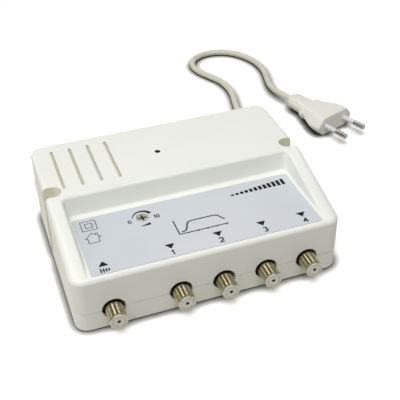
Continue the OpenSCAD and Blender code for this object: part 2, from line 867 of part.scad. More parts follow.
module led_leads() {
    color([0.75, 0.75, 0.75]) for (s = [-1, 1])
        translate([led_x + s * led_lead_gap * led_d / 3, led_y, board_top])
            cylinder(r = led_lead_r, h = led_tip_z - led_len - board_top);
}

// Power supply

module transformer_core() {
    color([0.42, 0.42, 0.44])
        translate([transformer_x, transformer_y + core_stack / 2, board_top])
            rotate([90, 0, 0]) linear_extrude(core_stack) difference() {
                translate([-core_w / 2, 0]) square([core_w, core_h]);
                for (s = [-1, 1]) translate([s * (core_leg + window_w / 2) - window_w / 2, core_leg])
                    square([window_w, window_h]);
            }
}

module ring_block(out_x, out_y, in_x, in_y, z, h) {
    translate([transformer_x, transformer_y, z]) linear_extrude(h) difference() {
        square([2 * out_x, 2 * out_y], center = true);
        square([2 * in_x, 2 * in_y], center = true);
    }
}

module transformer_bobbin() {
    color([0.15, 0.15, 0.15]) {
        ring_block(bobbin_in_x + bobbin_t, bobbin_in_y + bobbin_t, bobbin_in_x, bobbin_in_y,
            bobbin_foot_z, bobbin_h);
        for (i = [0 : 2])
            ring_block(bobbin_out_x, bobbin_out_y, bobbin_in_x, bobbin_in_y,
                bobbin_foot_z + i * (chamber_h + bobbin_t), bobbin_t);
    }
}

// Tape-wrapped winding in chamber i of the bobbin
module coil(i) {
    tape = 0.5;
    ring_block(bobbin_out_x - tape, bobbin_out_y - tape,
        bobbin_in_x + bobbin_t + fit, bobbin_in_y + bobbin_t + fit,
        bobbin_foot_z + bobbin_t + i * (chamber_h + bobbin_t) + fit, chamber_h - 2 * fit);
}

module primary_coil() {
    color([0.85, 0.75, 0.3]) coil(0);
}

module secondary_coil() {
    color([0.72, 0.42, 0.2]) coil(1);
}

module smoothing_capacitor() {
    bead = capacitor_h / 10;
    color([0.1, 0.12, 0.2]) translate([capacitor_x, supply_y, board_top]) rotate_extrude() polygon([
        [0, 0], [capacitor_r, 0], [capacitor_r, bead],
        [capacitor_r - capacitor_crimp, bead + capacitor_crimp],
        [capacitor_r, bead + 2 * capacitor_crimp], [capacitor_r, capacitor_h - capacitor_crimp],
        [capacitor_r - capacitor_crimp, capacitor_h], [0, capacitor_h]
    ]);
}

module voltage_regulator() {
    color([0.13, 0.13, 0.13]) translate([regulator_x, supply_y, board_top]) {
        translate([-regulator_w / 2, 0, regulator_lift]) cube([regulator_w, regulator_t, regulator_h]);
        translate([-regulator_w / 2, regulator_t - regulator_tab_t, regulator_lift + regulator_h])
            cube([regulator_w, regulator_tab_t, regulator_tab_h]);
        for (i = [-1 : 1])
            translate([i * regulator_leg_pitch - regulator_leg_w / 2, regulator_t / 2, 0])
                cube([regulator_leg_w, regulator_leg_t, regulator_lift]);
    }
}

module rectifier_diodes() {
    color([0.18, 0.18, 0.2]) for (i = [0 : 3])
        facing_front(diode_x + i * diode_pitch, diode_y, board_top + diode_r)
            cylinder(r = diode_r, h = diode_len);
}

module mains_fuse() {
    color([0.25, 0.2, 0.17]) translate([fuse_x, supply_y, board_top]) rotate_extrude() polygon([
        [0, 0], [fuse_r, 0], [fuse_r, fuse_h - fuse_edge], [fuse_r - fuse_edge, fuse_h], [0, fuse_h]
    ]);
}

module splitter_cores() {
    color([0.23, 0.22, 0.22]) for (i = [1 : tv_count - 1])
        translate([(socket_x(i) + socket_x(i + 1)) / 2, ferrite_y, board_top]) difference() {
            translate([-ferrite_w / 2, 0, 0]) cube([ferrite_w, ferrite_d, ferrite_h]);
            for (s = [-1, 1]) translate([s * ferrite_hole_x, ferrite_d + over, ferrite_h / 2])
                rotate([90, 0, 0]) cylinder(r = ferrite_hole_r, h = ferrite_d + 2 * over);
        }
}

module amplifier_transistors() {
    partition_x = socket_x(0) + antenna_gap / 2;
    color([0.12, 0.12, 0.12])
        for (x = [socket_x(0) + transistor_inset, partition_x + transistor_inset])
            translate([x, transistor_y, board_top]) difference() {
                cylinder(r = transistor_r, h = transistor_h);
                translate([-transistor_r - over, transistor_flat, -over])
                    cube([2 * (transistor_r + over), transistor_r, transistor_h + 2 * over]);
            }
}

// Inner end of one cord wire: out of the gland, down to the board
function inner_lead(dx, reach) = [
    [gland_x + dx, gland_inner_y, split_z],
    [gland_x + dx, gland_inner_y - 2, split_z],
    [gland_x + dx, gland_inner_y - reach + 1.8, (split_z + board_top) / 2 + 1],
    [gland_x + dx, gland_inner_y - reach, board_top + 1.6],
    [gland_x + dx, gland_inner_y - reach, board_top]
];

module live_lead() {
    color([0.45, 0.25, 0.12]) tube(inner_lead(-2.6, 8), lead_r, cord_sides, [1, 0, 0]);
}

module neutral_lead() {
    color([0.15, 0.3, 0.7]) tube(inner_lead(-0.4, 6), lead_r, cord_sides, [1, 0, 0]);
}

// Cord

// Strain relief: inner flange, neck in the wall, collar and a ribbed, tapering boot
module cord_gland() {
    ribs = 5;
    rib_w = 1.8;
    groove_r = 0.6;
    collar_t = 1.6;
    tip_r = cord_r + 0.9;
    wall_end = gland_flange_t + wall + 3 * fit;
    boot_start = wall_end + collar_t;
    boot_end = gland_end_y - gland_inner_y;
    rib_pitch = (boot_end - boot_start - 4) / ribs;
    function boot_r(h) = boot_d / 2 + (tip_r - boot_d / 2) * (h - boot_start) / (boot_end - boot_start);
    color([0.88, 0.88, 0.84]) facing_back(gland_x, gland_inner_y, split_z) rotate_extrude() polygon(concat(
        [
            [0, 0], [gland_flange_r, 0], [gland_flange_r, gland_flange_t],
            [gland_neck_r, gland_flange_t], [gland_neck_r, wall_end],
            [gland_flange_r, wall_end], [gland_flange_r, boot_start]
        ],
        [
            for (i = [0 : ribs - 1]) let (h = boot_start + 2 + i * rib_pitch) each [
                [boot_r(h), h == boot_start + 2 ? boot_start : h],
                [boot_r(h + rib_w), h + rib_w],
                [boot_r(h + rib_w) - groove_r, h + rib_w],
                [boot_r(h + rib_pitch) - groove_r, h + rib_pitch]
            ]
        ],
        [[tip_r, boot_end - 2], [tip_r, boot_end], [0, boot_end]]
    ));
}

module cord_case_lead() {
    color([0.88, 0.88, 0.83]) tube(case_lead_path, cord_r, cord_sides);
}

module cord_hank() {
    color([0.88, 0.88, 0.83]) tube(hank_path, cord_r, hank_sides);
}

module cord_plug_lead() {
    color([0.88, 0.88, 0.83]) tube(plug_lead_path, cord_r, cord_sides);
}

// Band round the drawn-in waist of the hank
module cord_tie() {
    rear = run_r(0) - hank_draw + cord_r + slack;
    front = run_r(1) - hank_draw + cord_r + slack;
    inner_h = 2 * cord_r + hank_rise + hank_lift - tie_t + slack;
    mid = (rear - front) / 2;
    corner = 2.5;
    color([0.2, 0.2, 0.2]) translate([hank_x - tie_w / 2, hank_y + mid, tie_t + inner_h / 2])
        rotate([90, 0, 90]) linear_extrude(tie_w) difference() {
            rounded_rect(rear + front + 2 * tie_t, inner_h + 2 * tie_t, corner + tie_t);
            rounded_rect(rear + front, inner_h, corner);
        }
}

// Plug, in its own frame: the cord enters at the origin and the pins point to -Y

module at_plug() {
    translate([plug_at.x, plug_at.y, plug_mid_z]) rotate([0, 0, plug_turn]) children();
}

// Cross-sections of the plug from the cord's entry to the face: place, width at mid height,
// width of the flat top, thickness
plug_ear = 1.2;
plug_waist = 20.6;
plug_sections = [
    [0, 8, 5, 6.6],
    [3, 13.2, 9.6, 8.6],
    [plug_neck_len - 0.2, 15.6, 11, 9.4],
    [plug_neck_len, plug_waist + 2 * plug_ear, 16, 10.4],
    [plug_neck_len + 2, plug_waist + 2 * plug_ear, 16, 10.4],
    [plug_neck_len + 2.4, plug_waist, 14.6, 10.6],
    [plug_neck_len + 0.35 * plug_body_len, 0.79 * plug_w, 18, 0.88 * plug_t],
    [plug_neck_len + 0.58 * plug_body_len, 0.96 * plug_w, 22, plug_t],
    [plug_neck_len + 0.76 * plug_body_len, plug_w, 23.6, plug_t],
    [plug_neck_len + plug_body_len - 0.7, plug_w, 23.6, plug_t],
    [plug_neck_len + plug_body_len, plug_w - 1.4, 22.6, plug_t - 1.2]
];

// Three points that round the corner p, over the length d of its two sides
function corner_arc(a, p, b, d) = [
    for (u = [0, 0.5, 1]) p + d * (1 - u) * (1 - u) * unit(a - p) + d * u * u * unit(b - p)
];

function plug_ring(section) = let (
    half = section[1] / 2,
    flat = section[2] / 2,
    t = section[3] / 2,
    corners = [[half, 0], [flat, t], [-flat, t], [-half, 0], [-flat, -t], [flat, -t]]
) [
    for (i = [0 : 5]) each [
        for (q = corner_arc(corners[(i + 5) % 6], corners[i], corners[(i + 1) % 6], 1.8))
            [q.x, -section[0], q.y]
    ]
];

module plug_body() {
    color([0.88, 0.88, 0.85]) at_plug() difference() {
        skin([for (section = plug_sections) plug_ring(section)]);
        for (s = [-1, 1]) translate([s * pin_pitch / 2, plug_face_y + pin_root, 0])
            rotate([90, 0, 0]) cylinder(r = pin_root_r + fit, h = pin_root + over);
    }
}

// A pin is necked where its sleeve sits, and its tip is rounded
module plug_pins() {
    tip = 1;
    color([0.78, 0.78, 0.76]) at_plug() for (s = [-1, 1])
        translate([s * pin_pitch / 2, plug_face_y, 0]) rotate([90, 0, 0]) rotate_extrude() polygon([
            [0, -pin_root], [pin_root_r, -pin_root], [pin_root_r, 0],
            [pin_neck_r, 0], [pin_neck_r, sleeve_len],
            [pin_r, sleeve_len], [pin_r, pin_len - tip], [pin_r - 0.3 * tip, pin_len - 0.3 * tip],
            [pin_r - tip, pin_len], [0, pin_len]
        ]);
}

module plug_pin_sleeves() {
    color([0.9, 0.9, 0.92]) at_plug() for (s = [-1, 1])
        translate([s * pin_pitch / 2, plug_face_y, 0]) rotate([90, 0, 0]) difference() {
            cylinder(r = sleeve_r, h = sleeve_len);
            translate([0, 0, -over]) cylinder(r = pin_neck_r + fit / 2, h = sleeve_len + 2 * over);
        }
}

base_shell();
top_cover();
panel_label();
circuit_board();
shield_frame();
shield_lid();
socket(0);  // antenna_socket
socket(1);  // tv_socket_1
socket(2);  // tv_socket_2
socket(3);  // tv_socket_3
socket(4);  // tv_socket_4
socket_insulators();
socket_contacts();
gain_trimmer_body();
gain_trimmer_rotor();
power_led();
led_leads();
transformer_core();
transformer_bobbin();
primary_coil();
secondary_coil();
smoothing_capacitor();
voltage_regulator();
rectifier_diodes();
mains_fuse();
splitter_cores();
amplifier_transistors();
live_lead();
neutral_lead();
cord_gland();
case_screws();
board_screws();
cord_case_lead();
cord_hank();
cord_tie();
cord_plug_lead();
plug_body();
plug_pins();
plug_pin_sleeves();
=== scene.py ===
"""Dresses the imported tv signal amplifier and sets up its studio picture.

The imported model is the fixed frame. Each class below builds one sub-assembly in
that frame, in metres, from sizes that are written in millimetres.
"""

import logging
from collections.abc import Callable, Iterable, Sequence
from dataclasses import dataclass, field
from enum import Enum
from functools import cache
from math import cos, dist, exp, hypot, pi, radians, sin, tau

import bmesh
import bpy
from bmesh.types import BMesh, BMVert
from bpy.types import ID, Curve, Material, Node, NodeOutputs, NodeSocket, NodeTree, Object
from mathutils import Matrix, Vector


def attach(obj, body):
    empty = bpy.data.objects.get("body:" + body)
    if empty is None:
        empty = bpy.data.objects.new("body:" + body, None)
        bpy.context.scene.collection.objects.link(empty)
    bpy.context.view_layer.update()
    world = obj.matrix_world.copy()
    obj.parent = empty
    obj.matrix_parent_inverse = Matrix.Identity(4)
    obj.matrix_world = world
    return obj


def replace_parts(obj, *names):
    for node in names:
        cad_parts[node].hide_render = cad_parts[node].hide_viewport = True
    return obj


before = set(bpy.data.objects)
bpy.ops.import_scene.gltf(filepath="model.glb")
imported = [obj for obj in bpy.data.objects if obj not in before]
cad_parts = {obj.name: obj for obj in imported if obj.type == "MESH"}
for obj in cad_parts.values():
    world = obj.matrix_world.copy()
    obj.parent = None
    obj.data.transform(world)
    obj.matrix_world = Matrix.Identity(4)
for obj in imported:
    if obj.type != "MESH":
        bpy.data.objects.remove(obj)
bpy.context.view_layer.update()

Rgb = tuple[int, int, int]
Point2 = tuple[float, float]
Point3 = tuple[float, float, float]
Row = tuple[float, float, float, float]
Points = Sequence[Point2]
Value = NodeSocket | float | tuple[float, ...]
log = logging.getLogger("amplifier")

MM = 0.001
WELD_REACH = 0.0005
WHITE = (1.0, 1.0, 1.0, 1.0)
BLACK = (0.0, 0.0, 0.0, 1.0)

# Places that two sub-assemblies share, in millimetres and degrees.
CASE_TOP = 46.5
LAMP_AXIS = (-4.5, 24.7)
TRIMMER_AXIS = (-26.3, -16.2)
PLUG_ENTRY = (126.2, 115.8, 6.85)
PLUG_TURN = 20.0


class Body(Enum):
    """The bodies that a piece can ride on."""

    CASE = "case"
    ROTOR = "gain_rotor"


class Effect(Enum):
    """Shader groups that several finishes share, with their inputs and outputs."""

    TONE_DRIFT = ("Colour Shade Patches Amount", "Colour")
    FINE_GRAIN = ("Grain Smooth Rough", "Roughness Height")
    DRAWN_LINES = ("Stretch Smooth Rough", "Roughness Height")
    SOFT_EDGE = ("Radius", "Normal Mask")


def linear(colour: Rgb) -> Row:
    """Turns a screen colour into the linear colour that a shader takes.

    Args:
        colour: Red, green and blue from 0 to 255.

    Returns:
        Linear red, green and blue, and an alpha of 1.
    """
    parts = [c / 255 for c in colour]
    flat = [c / 12.92 if c <= 0.04045 else ((c + 0.055) / 1.055) ** 2.4 for c in parts]
    return (*flat, 1.0)


def mm(*values: float) -> Vector:
    """Makes a vector in metres from millimetres."""
    return Vector(values) * MM


class Wiring:
    """Places and joins the nodes of one shader tree."""

    def __init__(self, tree: NodeTree) -> None:
        """Keeps the tree that the nodes go in."""
        self.tree = tree

    def put(self, node: Node, inputs: dict[str | int, Value]) -> None:
        """Feeds a node's inputs.

        Args:
            node: The node.
            inputs: Values, or sockets to join, by the input's name or number.
        """
        for key, value in inputs.items():
            if isinstance(value, NodeSocket):
                self.tree.links.new(value, node.inputs[key])
            else:
                node.inputs[key].default_value = value

    def add(self, kind: str, inputs: dict[str | int, Value] | None = None,
            **settings: object) -> Node:
        """Adds a node.

        Args:
            kind: The node's type name, without its common first part.
            inputs: What its inputs are fed.
            settings: Properties of the node itself.

        Returns:
            The new node.
        """
        node = self.tree.nodes.new("ShaderNode" + kind)
        for key, value in settings.items():
            setattr(node, key, value)
        self.put(node, inputs or {})
        return node

    def place(self) -> NodeSocket:
        """Returns the place on the piece."""
        return self.add("TexCoord").outputs["Object"]

    def noise(self, place: NodeSocket, scale: Value, detail: float) -> NodeSocket:
        """Returns soft noise of that scale."""
        return self.add("TexNoise", {"Vector": place, "Scale": scale, "Detail": detail}).outputs[0]

    def span(self, value: NodeSocket, low: float, high: float, first: Value = 0.0,
             last: Value = 1.0) -> NodeSocket:
        """Returns what runs from first to last while the value runs from low to high."""
        return self.add("MapRange", {0: value, 1: low, 2: high, 3: first, 4: last}).outputs[0]

    def blend(self, share: Value, first: Value, second: Value, kind: str = "MIX") -> NodeSocket:
        """Returns the first colour with a share of the second in it."""
        node = self.add("Mix", {0: share, 6: first, 7: second}, data_type="RGBA", blend_type=kind)
        return node.outputs[2]

    def calc(self, operation: str, first: Value, second: Value) -> NodeSocket:
        """Returns the result of an operation on two numbers."""
        return self.add("Math", {0: first, 1: second}, operation=operation).outputs[0]

    def vector(self, operation: str, first: Value, second: Value) -> NodeOutputs:
        """Returns the outputs of an operation on two vectors."""
        return self.add("VectorMath", {0: first, 1: second}, operation=operation).outputs


class Group(Wiring):
    """A shader group that several finishes share."""

    KINDS = {"Colour": "Color", "Shade": "Color", "Stretch": "Vector", "Normal": "Vector"}
    PATCH_SPAN = (0.35, 0.65)
    GRAIN_SPAN = (0.3, 0.7)
    EDGE_SPAN = (1.0, 0.8)
    EDGE_SAMPLES = 6
    PATCH_DETAIL, GRAIN_DETAIL, LINE_DETAIL = 3.0, 4.0, 5.0

    def __init__(self, effect: Effect) -> None:
        """Makes the group with its sockets and nodes.

        Args:
            effect: Which group it is.
        """
        name = effect.name.lower()
        super().__init__(bpy.data.node_groups.new(name, "ShaderNodeTree"))
        for way, sockets in zip(("INPUT", "OUTPUT"), effect.value):
            for socket in sockets.split():
                kind = "NodeSocket" + self.KINDS.get(socket, "Float")
                self.tree.interface.new_socket(socket, in_out=way, socket_type=kind)
        self.given = self.tree.nodes.new("NodeGroupInput").outputs
        self.out = self.tree.nodes.new("NodeGroupOutput")
        getattr(self, "_" + name)()

    @staticmethod
    @cache
    def tree_of(effect: Effect) -> NodeTree:
        """Returns the tree of a group, built at its first use."""
        return Group(effect).tree

    def _tone_drift(self) -> None:
        """Two close tones that run into each other in soft patches."""
        noise = self.noise(self.place(), self.given["Patches"], self.PATCH_DETAIL)
        mask = self.span(noise, *self.PATCH_SPAN, last=self.given["Amount"])
        tone = self.blend(mask, self.given["Colour"], self.given["Shade"])
        self.put(self.out, {"Colour": tone})

    def _surface(self, noise: NodeSocket) -> None:
        """Lets roughness and height follow one noise."""
        rough = self.span(noise, *self.GRAIN_SPAN, self.given["Smooth"], self.given["Rough"])
        self.put(self.out, {"Roughness": rough, "Height": noise})

    def _fine_grain(self) -> None:
        """Small even grain, as spark-eroded mould steel leaves it."""
        self._surface(self.noise(self.place(), self.given["Grain"], self.GRAIN_DETAIL))

    def _drawn_lines(self) -> None:
        """Fine lines along one way, as turning or drawing leaves them."""
        drawn = self.vector("MULTIPLY", self.place(), self.given["Stretch"])[0]
        self._surface(self.noise(drawn, 1.0, self.LINE_DETAIL))

    def _soft_edge(self) -> None:
        """Small round-over of sharp edges, and a mask of where it lies."""
        radius = {"Radius": self.given["Radius"]}
        bevel = self.add("Bevel", radius, samples=self.EDGE_SAMPLES).outputs[0]
        true = self.add("NewGeometry").outputs["Normal"]
        same = self.vector("DOT_PRODUCT", bevel, true)["Value"]
        self.put(self.out, {"Normal": bevel, "Mask": self.span(same, *self.EDGE_SPAN)})


class Coating(Wiring):
    """The wiring of one material: a shader, its output and the shared groups."""

    def __init__(self, name: str) -> None:
        """Makes a material with a plain shader.

        Args:
            name: The finish's name.
        """
        self.material = bpy.data.materials.new(name + "_finish")
        self.material.use_nodes = True
        super().__init__(self.material.node_tree)
        self.tree.nodes.clear()
        self.shader = self.add("BsdfPrincipled")
        self.end = self.add("OutputMaterial", {0: self.shader.outputs[0]})

    def set(self, **values: Value) -> None:
        """Joins or sets the shader's own inputs, with _ for a space."""
        self.put(self.shader, {key.replace("_", " "): value for key, value in values.items()})

    def effect(self, effect: Effect, **inputs: Value) -> NodeOutputs:
        """Places one of the shared groups and returns its outputs."""
        return self.add("Group", inputs, node_tree=Group.tree_of(effect)).outputs

    def drift(self, colour: Rgb, shade: Rgb, patches: float, amount: float) -> NodeSocket:
        """Returns a tone that drifts from one colour to another."""
        return self.effect(Effect.TONE_DRIFT, Colour=linear(colour), Shade=linear(shade),
                           Patches=patches, Amount=amount)[0]

    def relief(self, height: NodeSocket, depth: float, edge: float) -> NodeSocket:
        """Joins a bump over softened edges to the shader's normal.

        Args:
            height: The height over the surface, from 0 to 1.
            depth: Depth of the relief in millimetres.
            edge: Radius of the round-over in millimetres.

        Returns:
            The mask of the softened edges.
        """
        soft = self.effect(Effect.SOFT_EDGE, Radius=edge * MM)
        bump = self.add("Bump", {"Strength": 1.0, "Distance": depth * MM, "Height": height,
                                 "Normal": soft["Normal"]})
        self.set(Normal=bump.outputs[0])
        return soft["Mask"]


@dataclass(frozen=True)
class Moulded:
    """A moulded plastic."""

    name: str
    colour: Rgb
    shade: Rgb
    smooth: float = 0.34
    rough: float = 0.46
    grain: float = 2600.0
    depth: float = 0.012
    edge: float = 0.3
    patches: float = 28.0
    drift: float = 0.5
    coat: float = 0.0
    coat_rough: float = 0.12
    gloss: float = 0.5
    ior: float = 1.5

    def material(self) -> Material:
        """Builds the plastic: tone drift, mould grain, softened edges.

        Returns:
            Its material.
        """
        c = Coating(self.name)
        grain = c.effect(Effect.FINE_GRAIN, Grain=self.grain, Smooth=self.smooth, Rough=self.rough)
        c.relief(grain["Height"], self.depth, self.edge)
        c.set(Base_Color=c.drift(self.colour, self.shade, self.patches, self.drift),
              Roughness=grain["Roughness"], Coat_Weight=self.coat,
              Coat_Roughness=self.coat_rough, IOR=self.ior, Specular_IOR_Level=self.gloss)
        return c.material


@dataclass(frozen=True)
class Plated:
    """A plated, turned or drawn metal."""

    name: str
    colour: Rgb
    tarnish: Rgb
    smooth: float = 0.16
    rough: float = 0.3
    stretch: Point3 = (2200.0, 160.0, 2200.0)
    depth: float = 0.004
    edge: float = 0.15
    patches: float = 160.0
    drift: float = 0.6

    def material(self) -> Material:
        """Builds the metal: tarnish drift, tool lines, edges in the plain lighter colour.

        Returns:
            Its material.
        """
        c = Coating(self.name)
        lines = c.effect(Effect.DRAWN_LINES, Stretch=self.stretch, Smooth=self.smooth,
                         Rough=self.rough)
        lighter_edges = c.relief(lines["Height"], self.depth, self.edge)
        tone = c.drift(self.colour, self.tarnish, self.patches, self.drift)
        # The softened edges show the lighter colour without tarnish.
        c.set(Base_Color=c.blend(lighter_edges, tone, linear(self.colour)),
              Roughness=lines["Roughness"], Metallic=1.0)
        return c.material


@dataclass(frozen=True)
class Banded:
    """A finish with fine bands: stacked sheets, wound tape or woven laminate."""

    name: str
    colour: Rgb
    line: Rgb
    pitch: float
    across: str = "X"
    metallic: float = 0.0
    smooth: float = 0.4
    rough: float = 0.6
    grain: float = 1800.0
    depth: float = 0.03
    edge: float = 0.15
    patches: float = 90.0
    drift: float = 0.25
    bands_per_scale: float = 3.2
    waver: float = 0.6
    line_span: Point2 = (0.55, 0.95)
    line_share: float = 0.7

    def material(self) -> Material:
        """Builds the bands over a grained ground.

        Returns:
            Its material.
        """
        c = Coating(self.name)
        scale = 1 / (self.pitch * MM) / self.bands_per_scale
        bands = c.add("TexWave", {"Vector": c.place(), "Scale": scale, "Distortion": self.waver},
                      wave_type="BANDS", bands_direction=self.across).outputs[1]
        lines = c.span(bands, *self.line_span, last=self.line_share)
        tone = c.drift(self.colour, self.line, self.patches, self.drift)
        grain = c.effect(Effect.FINE_GRAIN, Grain=self.grain, Smooth=self.smooth, Rough=self.rough)
        c.relief(bands, self.depth, self.edge)
        c.set(Base_Color=c.blend(lines, tone, linear(self.line)), Roughness=grain["Roughness"],
              Metallic=self.metallic)
        return c.material


TURNED = (70.0, 1600.0, 70.0)
ROLLED = (300.0, 300.0, 300.0)


KINDS = {kind.name: kind for kind in (
    Moulded("case_plastic", (241, 243, 238), (238, 239, 233), drift=0.6, edge=0.35),
    # Painted shade: darker, warmer tones for the faces in the case's screw channels, grooves and
    # lamp hole.
    Moulded("painted_channel_shade", (235, 234, 219), (230, 228, 210), 0.4, 0.5, edge=0.2),
    Moulded("painted_groove_shade", (207, 206, 189), (199, 198, 180), 0.5, 0.6, edge=0.05),
    Moulded("painted_lamp_hole_shade", (26, 36, 25), (16, 24, 16), 0.5, 0.6, edge=0.02),
    Moulded("label_film", (207, 212, 219), (204, 209, 217), 0.3, 0.4, 5200.0, 0.003, 0.1, 40.0,
            0.6, coat=0.15),
    Moulded("print_ink", (14, 15, 19), (24, 25, 30), 0.5, 0.65, 4000.0, 0.004, 0.02, 300.0,
            gloss=0.15),
    Plated("nickel", (184, 177, 154), (156, 145, 114), 0.08, 0.16, TURNED, 0.002, 0.05),
    Plated("rim_nickel", (190, 188, 178), (178, 175, 163), 0.14, 0.24, TURNED, 0.002, 0.03),
    Plated("tip_nickel", (184, 183, 175), (172, 170, 160), 0.3, 0.44, (900.0, 300.0, 900.0),
           0.004, 0.05),
    # Painted shade: dark tone for the barrels' backs, flanges and necks behind the front wall.
    Plated("painted_flange_shade", (74, 68, 54), (50, 45, 34), 0.4, 0.6, ROLLED),
    Plated("pin_nickel", (186, 187, 190), (150, 150, 152), 0.05, 0.1, depth=0.001, edge=0.2),
    Moulded("insulator_plastic", (232, 232, 224), (225, 225, 214), edge=0.12),
    # Painted shade: dark tone for the entry of each insulator's bore.
    Moulded("painted_bore_shade", (84, 78, 64), (66, 61, 50), 0.5, 0.6, edge=0.05),
    Plated("contact_brass", (196, 160, 90), (140, 104, 52), 0.22, 0.36),
    Plated("tinned_sheet", (128, 127, 122), (92, 90, 84), 0.4, 0.6, ROLLED),
    Plated("screw_steel", (170, 171, 174), (120, 119, 118), 0.2, 0.36, (900.0, 900.0, 200.0)),
    Moulded("component_plastic", (34, 35, 38), (48, 48, 50), 0.4, 0.56, edge=0.2),
    Moulded("rotor_plastic", (176, 180, 164), (150, 155, 136), 0.26, 0.4, 3200.0, 0.01, 0.14,
            260.0),
    # Painted shade: dark tone for the faces inside the spindle's slot.
    Moulded("painted_slot_shade", (62, 66, 50), (44, 48, 35), 0.45, 0.6, 3200.0, 0.01, 0.06, 260.0),
    Moulded("led_lens", (9, 24, 12), (4, 11, 6), 0.06, 0.12, 3000.0, 0.002, 0.1, 900.0, 0.8,
            gloss=0.25),
    Banded("core_iron", (96, 98, 102), (40, 40, 44), 0.5, "Y", 0.6),
    Banded("winding_tape", (214, 176, 70), (168, 128, 38), 1.2, "Z"),
    Banded("board_laminate", (36, 78, 50), (27, 62, 40), 0.4, "X", 0.0, 0.3, 0.44),
    Moulded("wire_brown", (104, 62, 34), (88, 50, 28), 0.36, 0.5),
    Moulded("wire_blue", (38, 84, 160), (30, 68, 138), 0.36, 0.5),
    Moulded("cord_sheath", (221, 222, 209), (213, 213, 198), 0.36, 0.5, 1800.0, 0.02, 0.1, 60.0),
    Moulded("tie_plastic", (44, 44, 46), (56, 56, 58), 0.36, 0.5, 1800.0, 0.02, 0.12),
    Moulded("plug_plastic", (243, 243, 236), (239, 239, 230), 0.34, 0.46, 2400.0, 0.014, 0.45,
            60.0),
    Moulded("sleeve_plastic", (230, 232, 240), (221, 224, 233), 0.3, 0.4, 2800.0, 0.008, 0.12,
            200.0),
)}


@cache
def material(finish: str) -> Material:
    """Returns a finish's material, built at its first use."""
    return KINDS[finish].material()


def coat(obj: Object, finish: str) -> None:
    """Gives a piece one finish."""
    obj.data.materials.clear()
    obj.data.materials.append(material(finish))


def dress(finish: str, *nodes: str) -> None:
    """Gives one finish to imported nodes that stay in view.

    Args:
        finish: The finish's name.
        nodes: The nodes' names.
    """
    for node in nodes:
        coat(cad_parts[node], finish)
        log.info("%s: %s", node, finish)


def inlay(obj: Object, finishes: Sequence[str], pick: Callable[[Vector], int]) -> None:
    """Gives some faces of a piece finishes of their own.

    Args:
        obj: The piece.
        finishes: The further finishes.
        pick: Tells from a face's middle, in millimetres, which of them it has, from 1, or 0.
    """
    for finish in finishes:
        obj.data.materials.append(material(finish))
    for face in obj.data.polygons:
        face.material_index = pick(face.center / MM)


def placed(name: str, data: ID) -> Object:
    """Makes an object and links it to the scene.

    Args:
        name: Its name.
        data: Its mesh, curve, lamp or camera.

    Returns:
        The object.
    """
    obj = bpy.data.objects.new(name, data)
    bpy.context.scene.collection.objects.link(obj)
    return obj


def piece(name: str, bm: BMesh, finish: str, body: Body = Body.CASE,
          angle: float = 35.0) -> Object:
    """Makes an object of a mesh, dresses it and lets it ride.

    Args:
        name: The piece's name.
        bm: Its mesh, which is freed.
        finish: The finish's name.
        body: The body that it rides on.
        angle: Edges that bend more than this stay sharp, in degrees.

    Returns:
        The new object.
    """
    bmesh.ops.recalc_face_normals(bm, faces=bm.faces)
    for face in bm.faces:
        face.smooth = True
    for edge in bm.edges:
        edge.smooth = edge.is_manifold and edge.calc_face_angle(0.0) < radians(angle)
    mesh = bpy.data.meshes.new(name)
    bm.to_mesh(mesh)
    bm.free()
    if (old := mesh.attributes.get("custom_normal")) is not None:
        mesh.attributes.remove(old)
    obj = placed(name, mesh)
    coat(obj, finish)
    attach(obj, body.value)
    log.info("%s: %s on %s", name, finish, body.value)
    return obj


def welded(node: str, reach: float = WELD_REACH) -> BMesh:
    """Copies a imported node's mesh with its doubled points joined.

    Args:
        node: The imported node.
        reach: How far joined points lie apart at most, in millimetres.

    Returns:
        The copy.
    """
    bm = bmesh.new()
    bm.from_mesh(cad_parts[node].data)
    bmesh.ops.remove_doubles(bm, verts=bm.verts, dist=reach * MM)
    bmesh.ops.dissolve_degenerate(bm, edges=bm.edges, dist=reach * MM)
    return bm


def loft(bm: BMesh, rings: list[list[BMVert]], closed: bool = False) -> None:
    """Joins each ring of points to the next with faces.

    Args:
        bm: The mesh.
        rings: The rings, all with the same number of points.
        closed: Whether the last ring joins the first.
    """
    for near, far in zip(rings, rings[1:] + (rings[:1] if closed else [])):
        for corners in zip(near, near[1:] + near[:1], far[1:] + far[:1], far):
            bm.faces.new(corners)


def arc(middle: Point2, radii: Point2, turns: Point2, count: int = 14) -> list[Point2]:
    """Returns points along an elliptic arc between two angles in degrees."""
    steps = (radians(turns[0] + (turns[1] - turns[0]) * i / count) for i in range(count + 1))
    return [(middle[0] + radii[0] * cos(t), middle[1] + radii[1] * sin(t)) for t in steps]


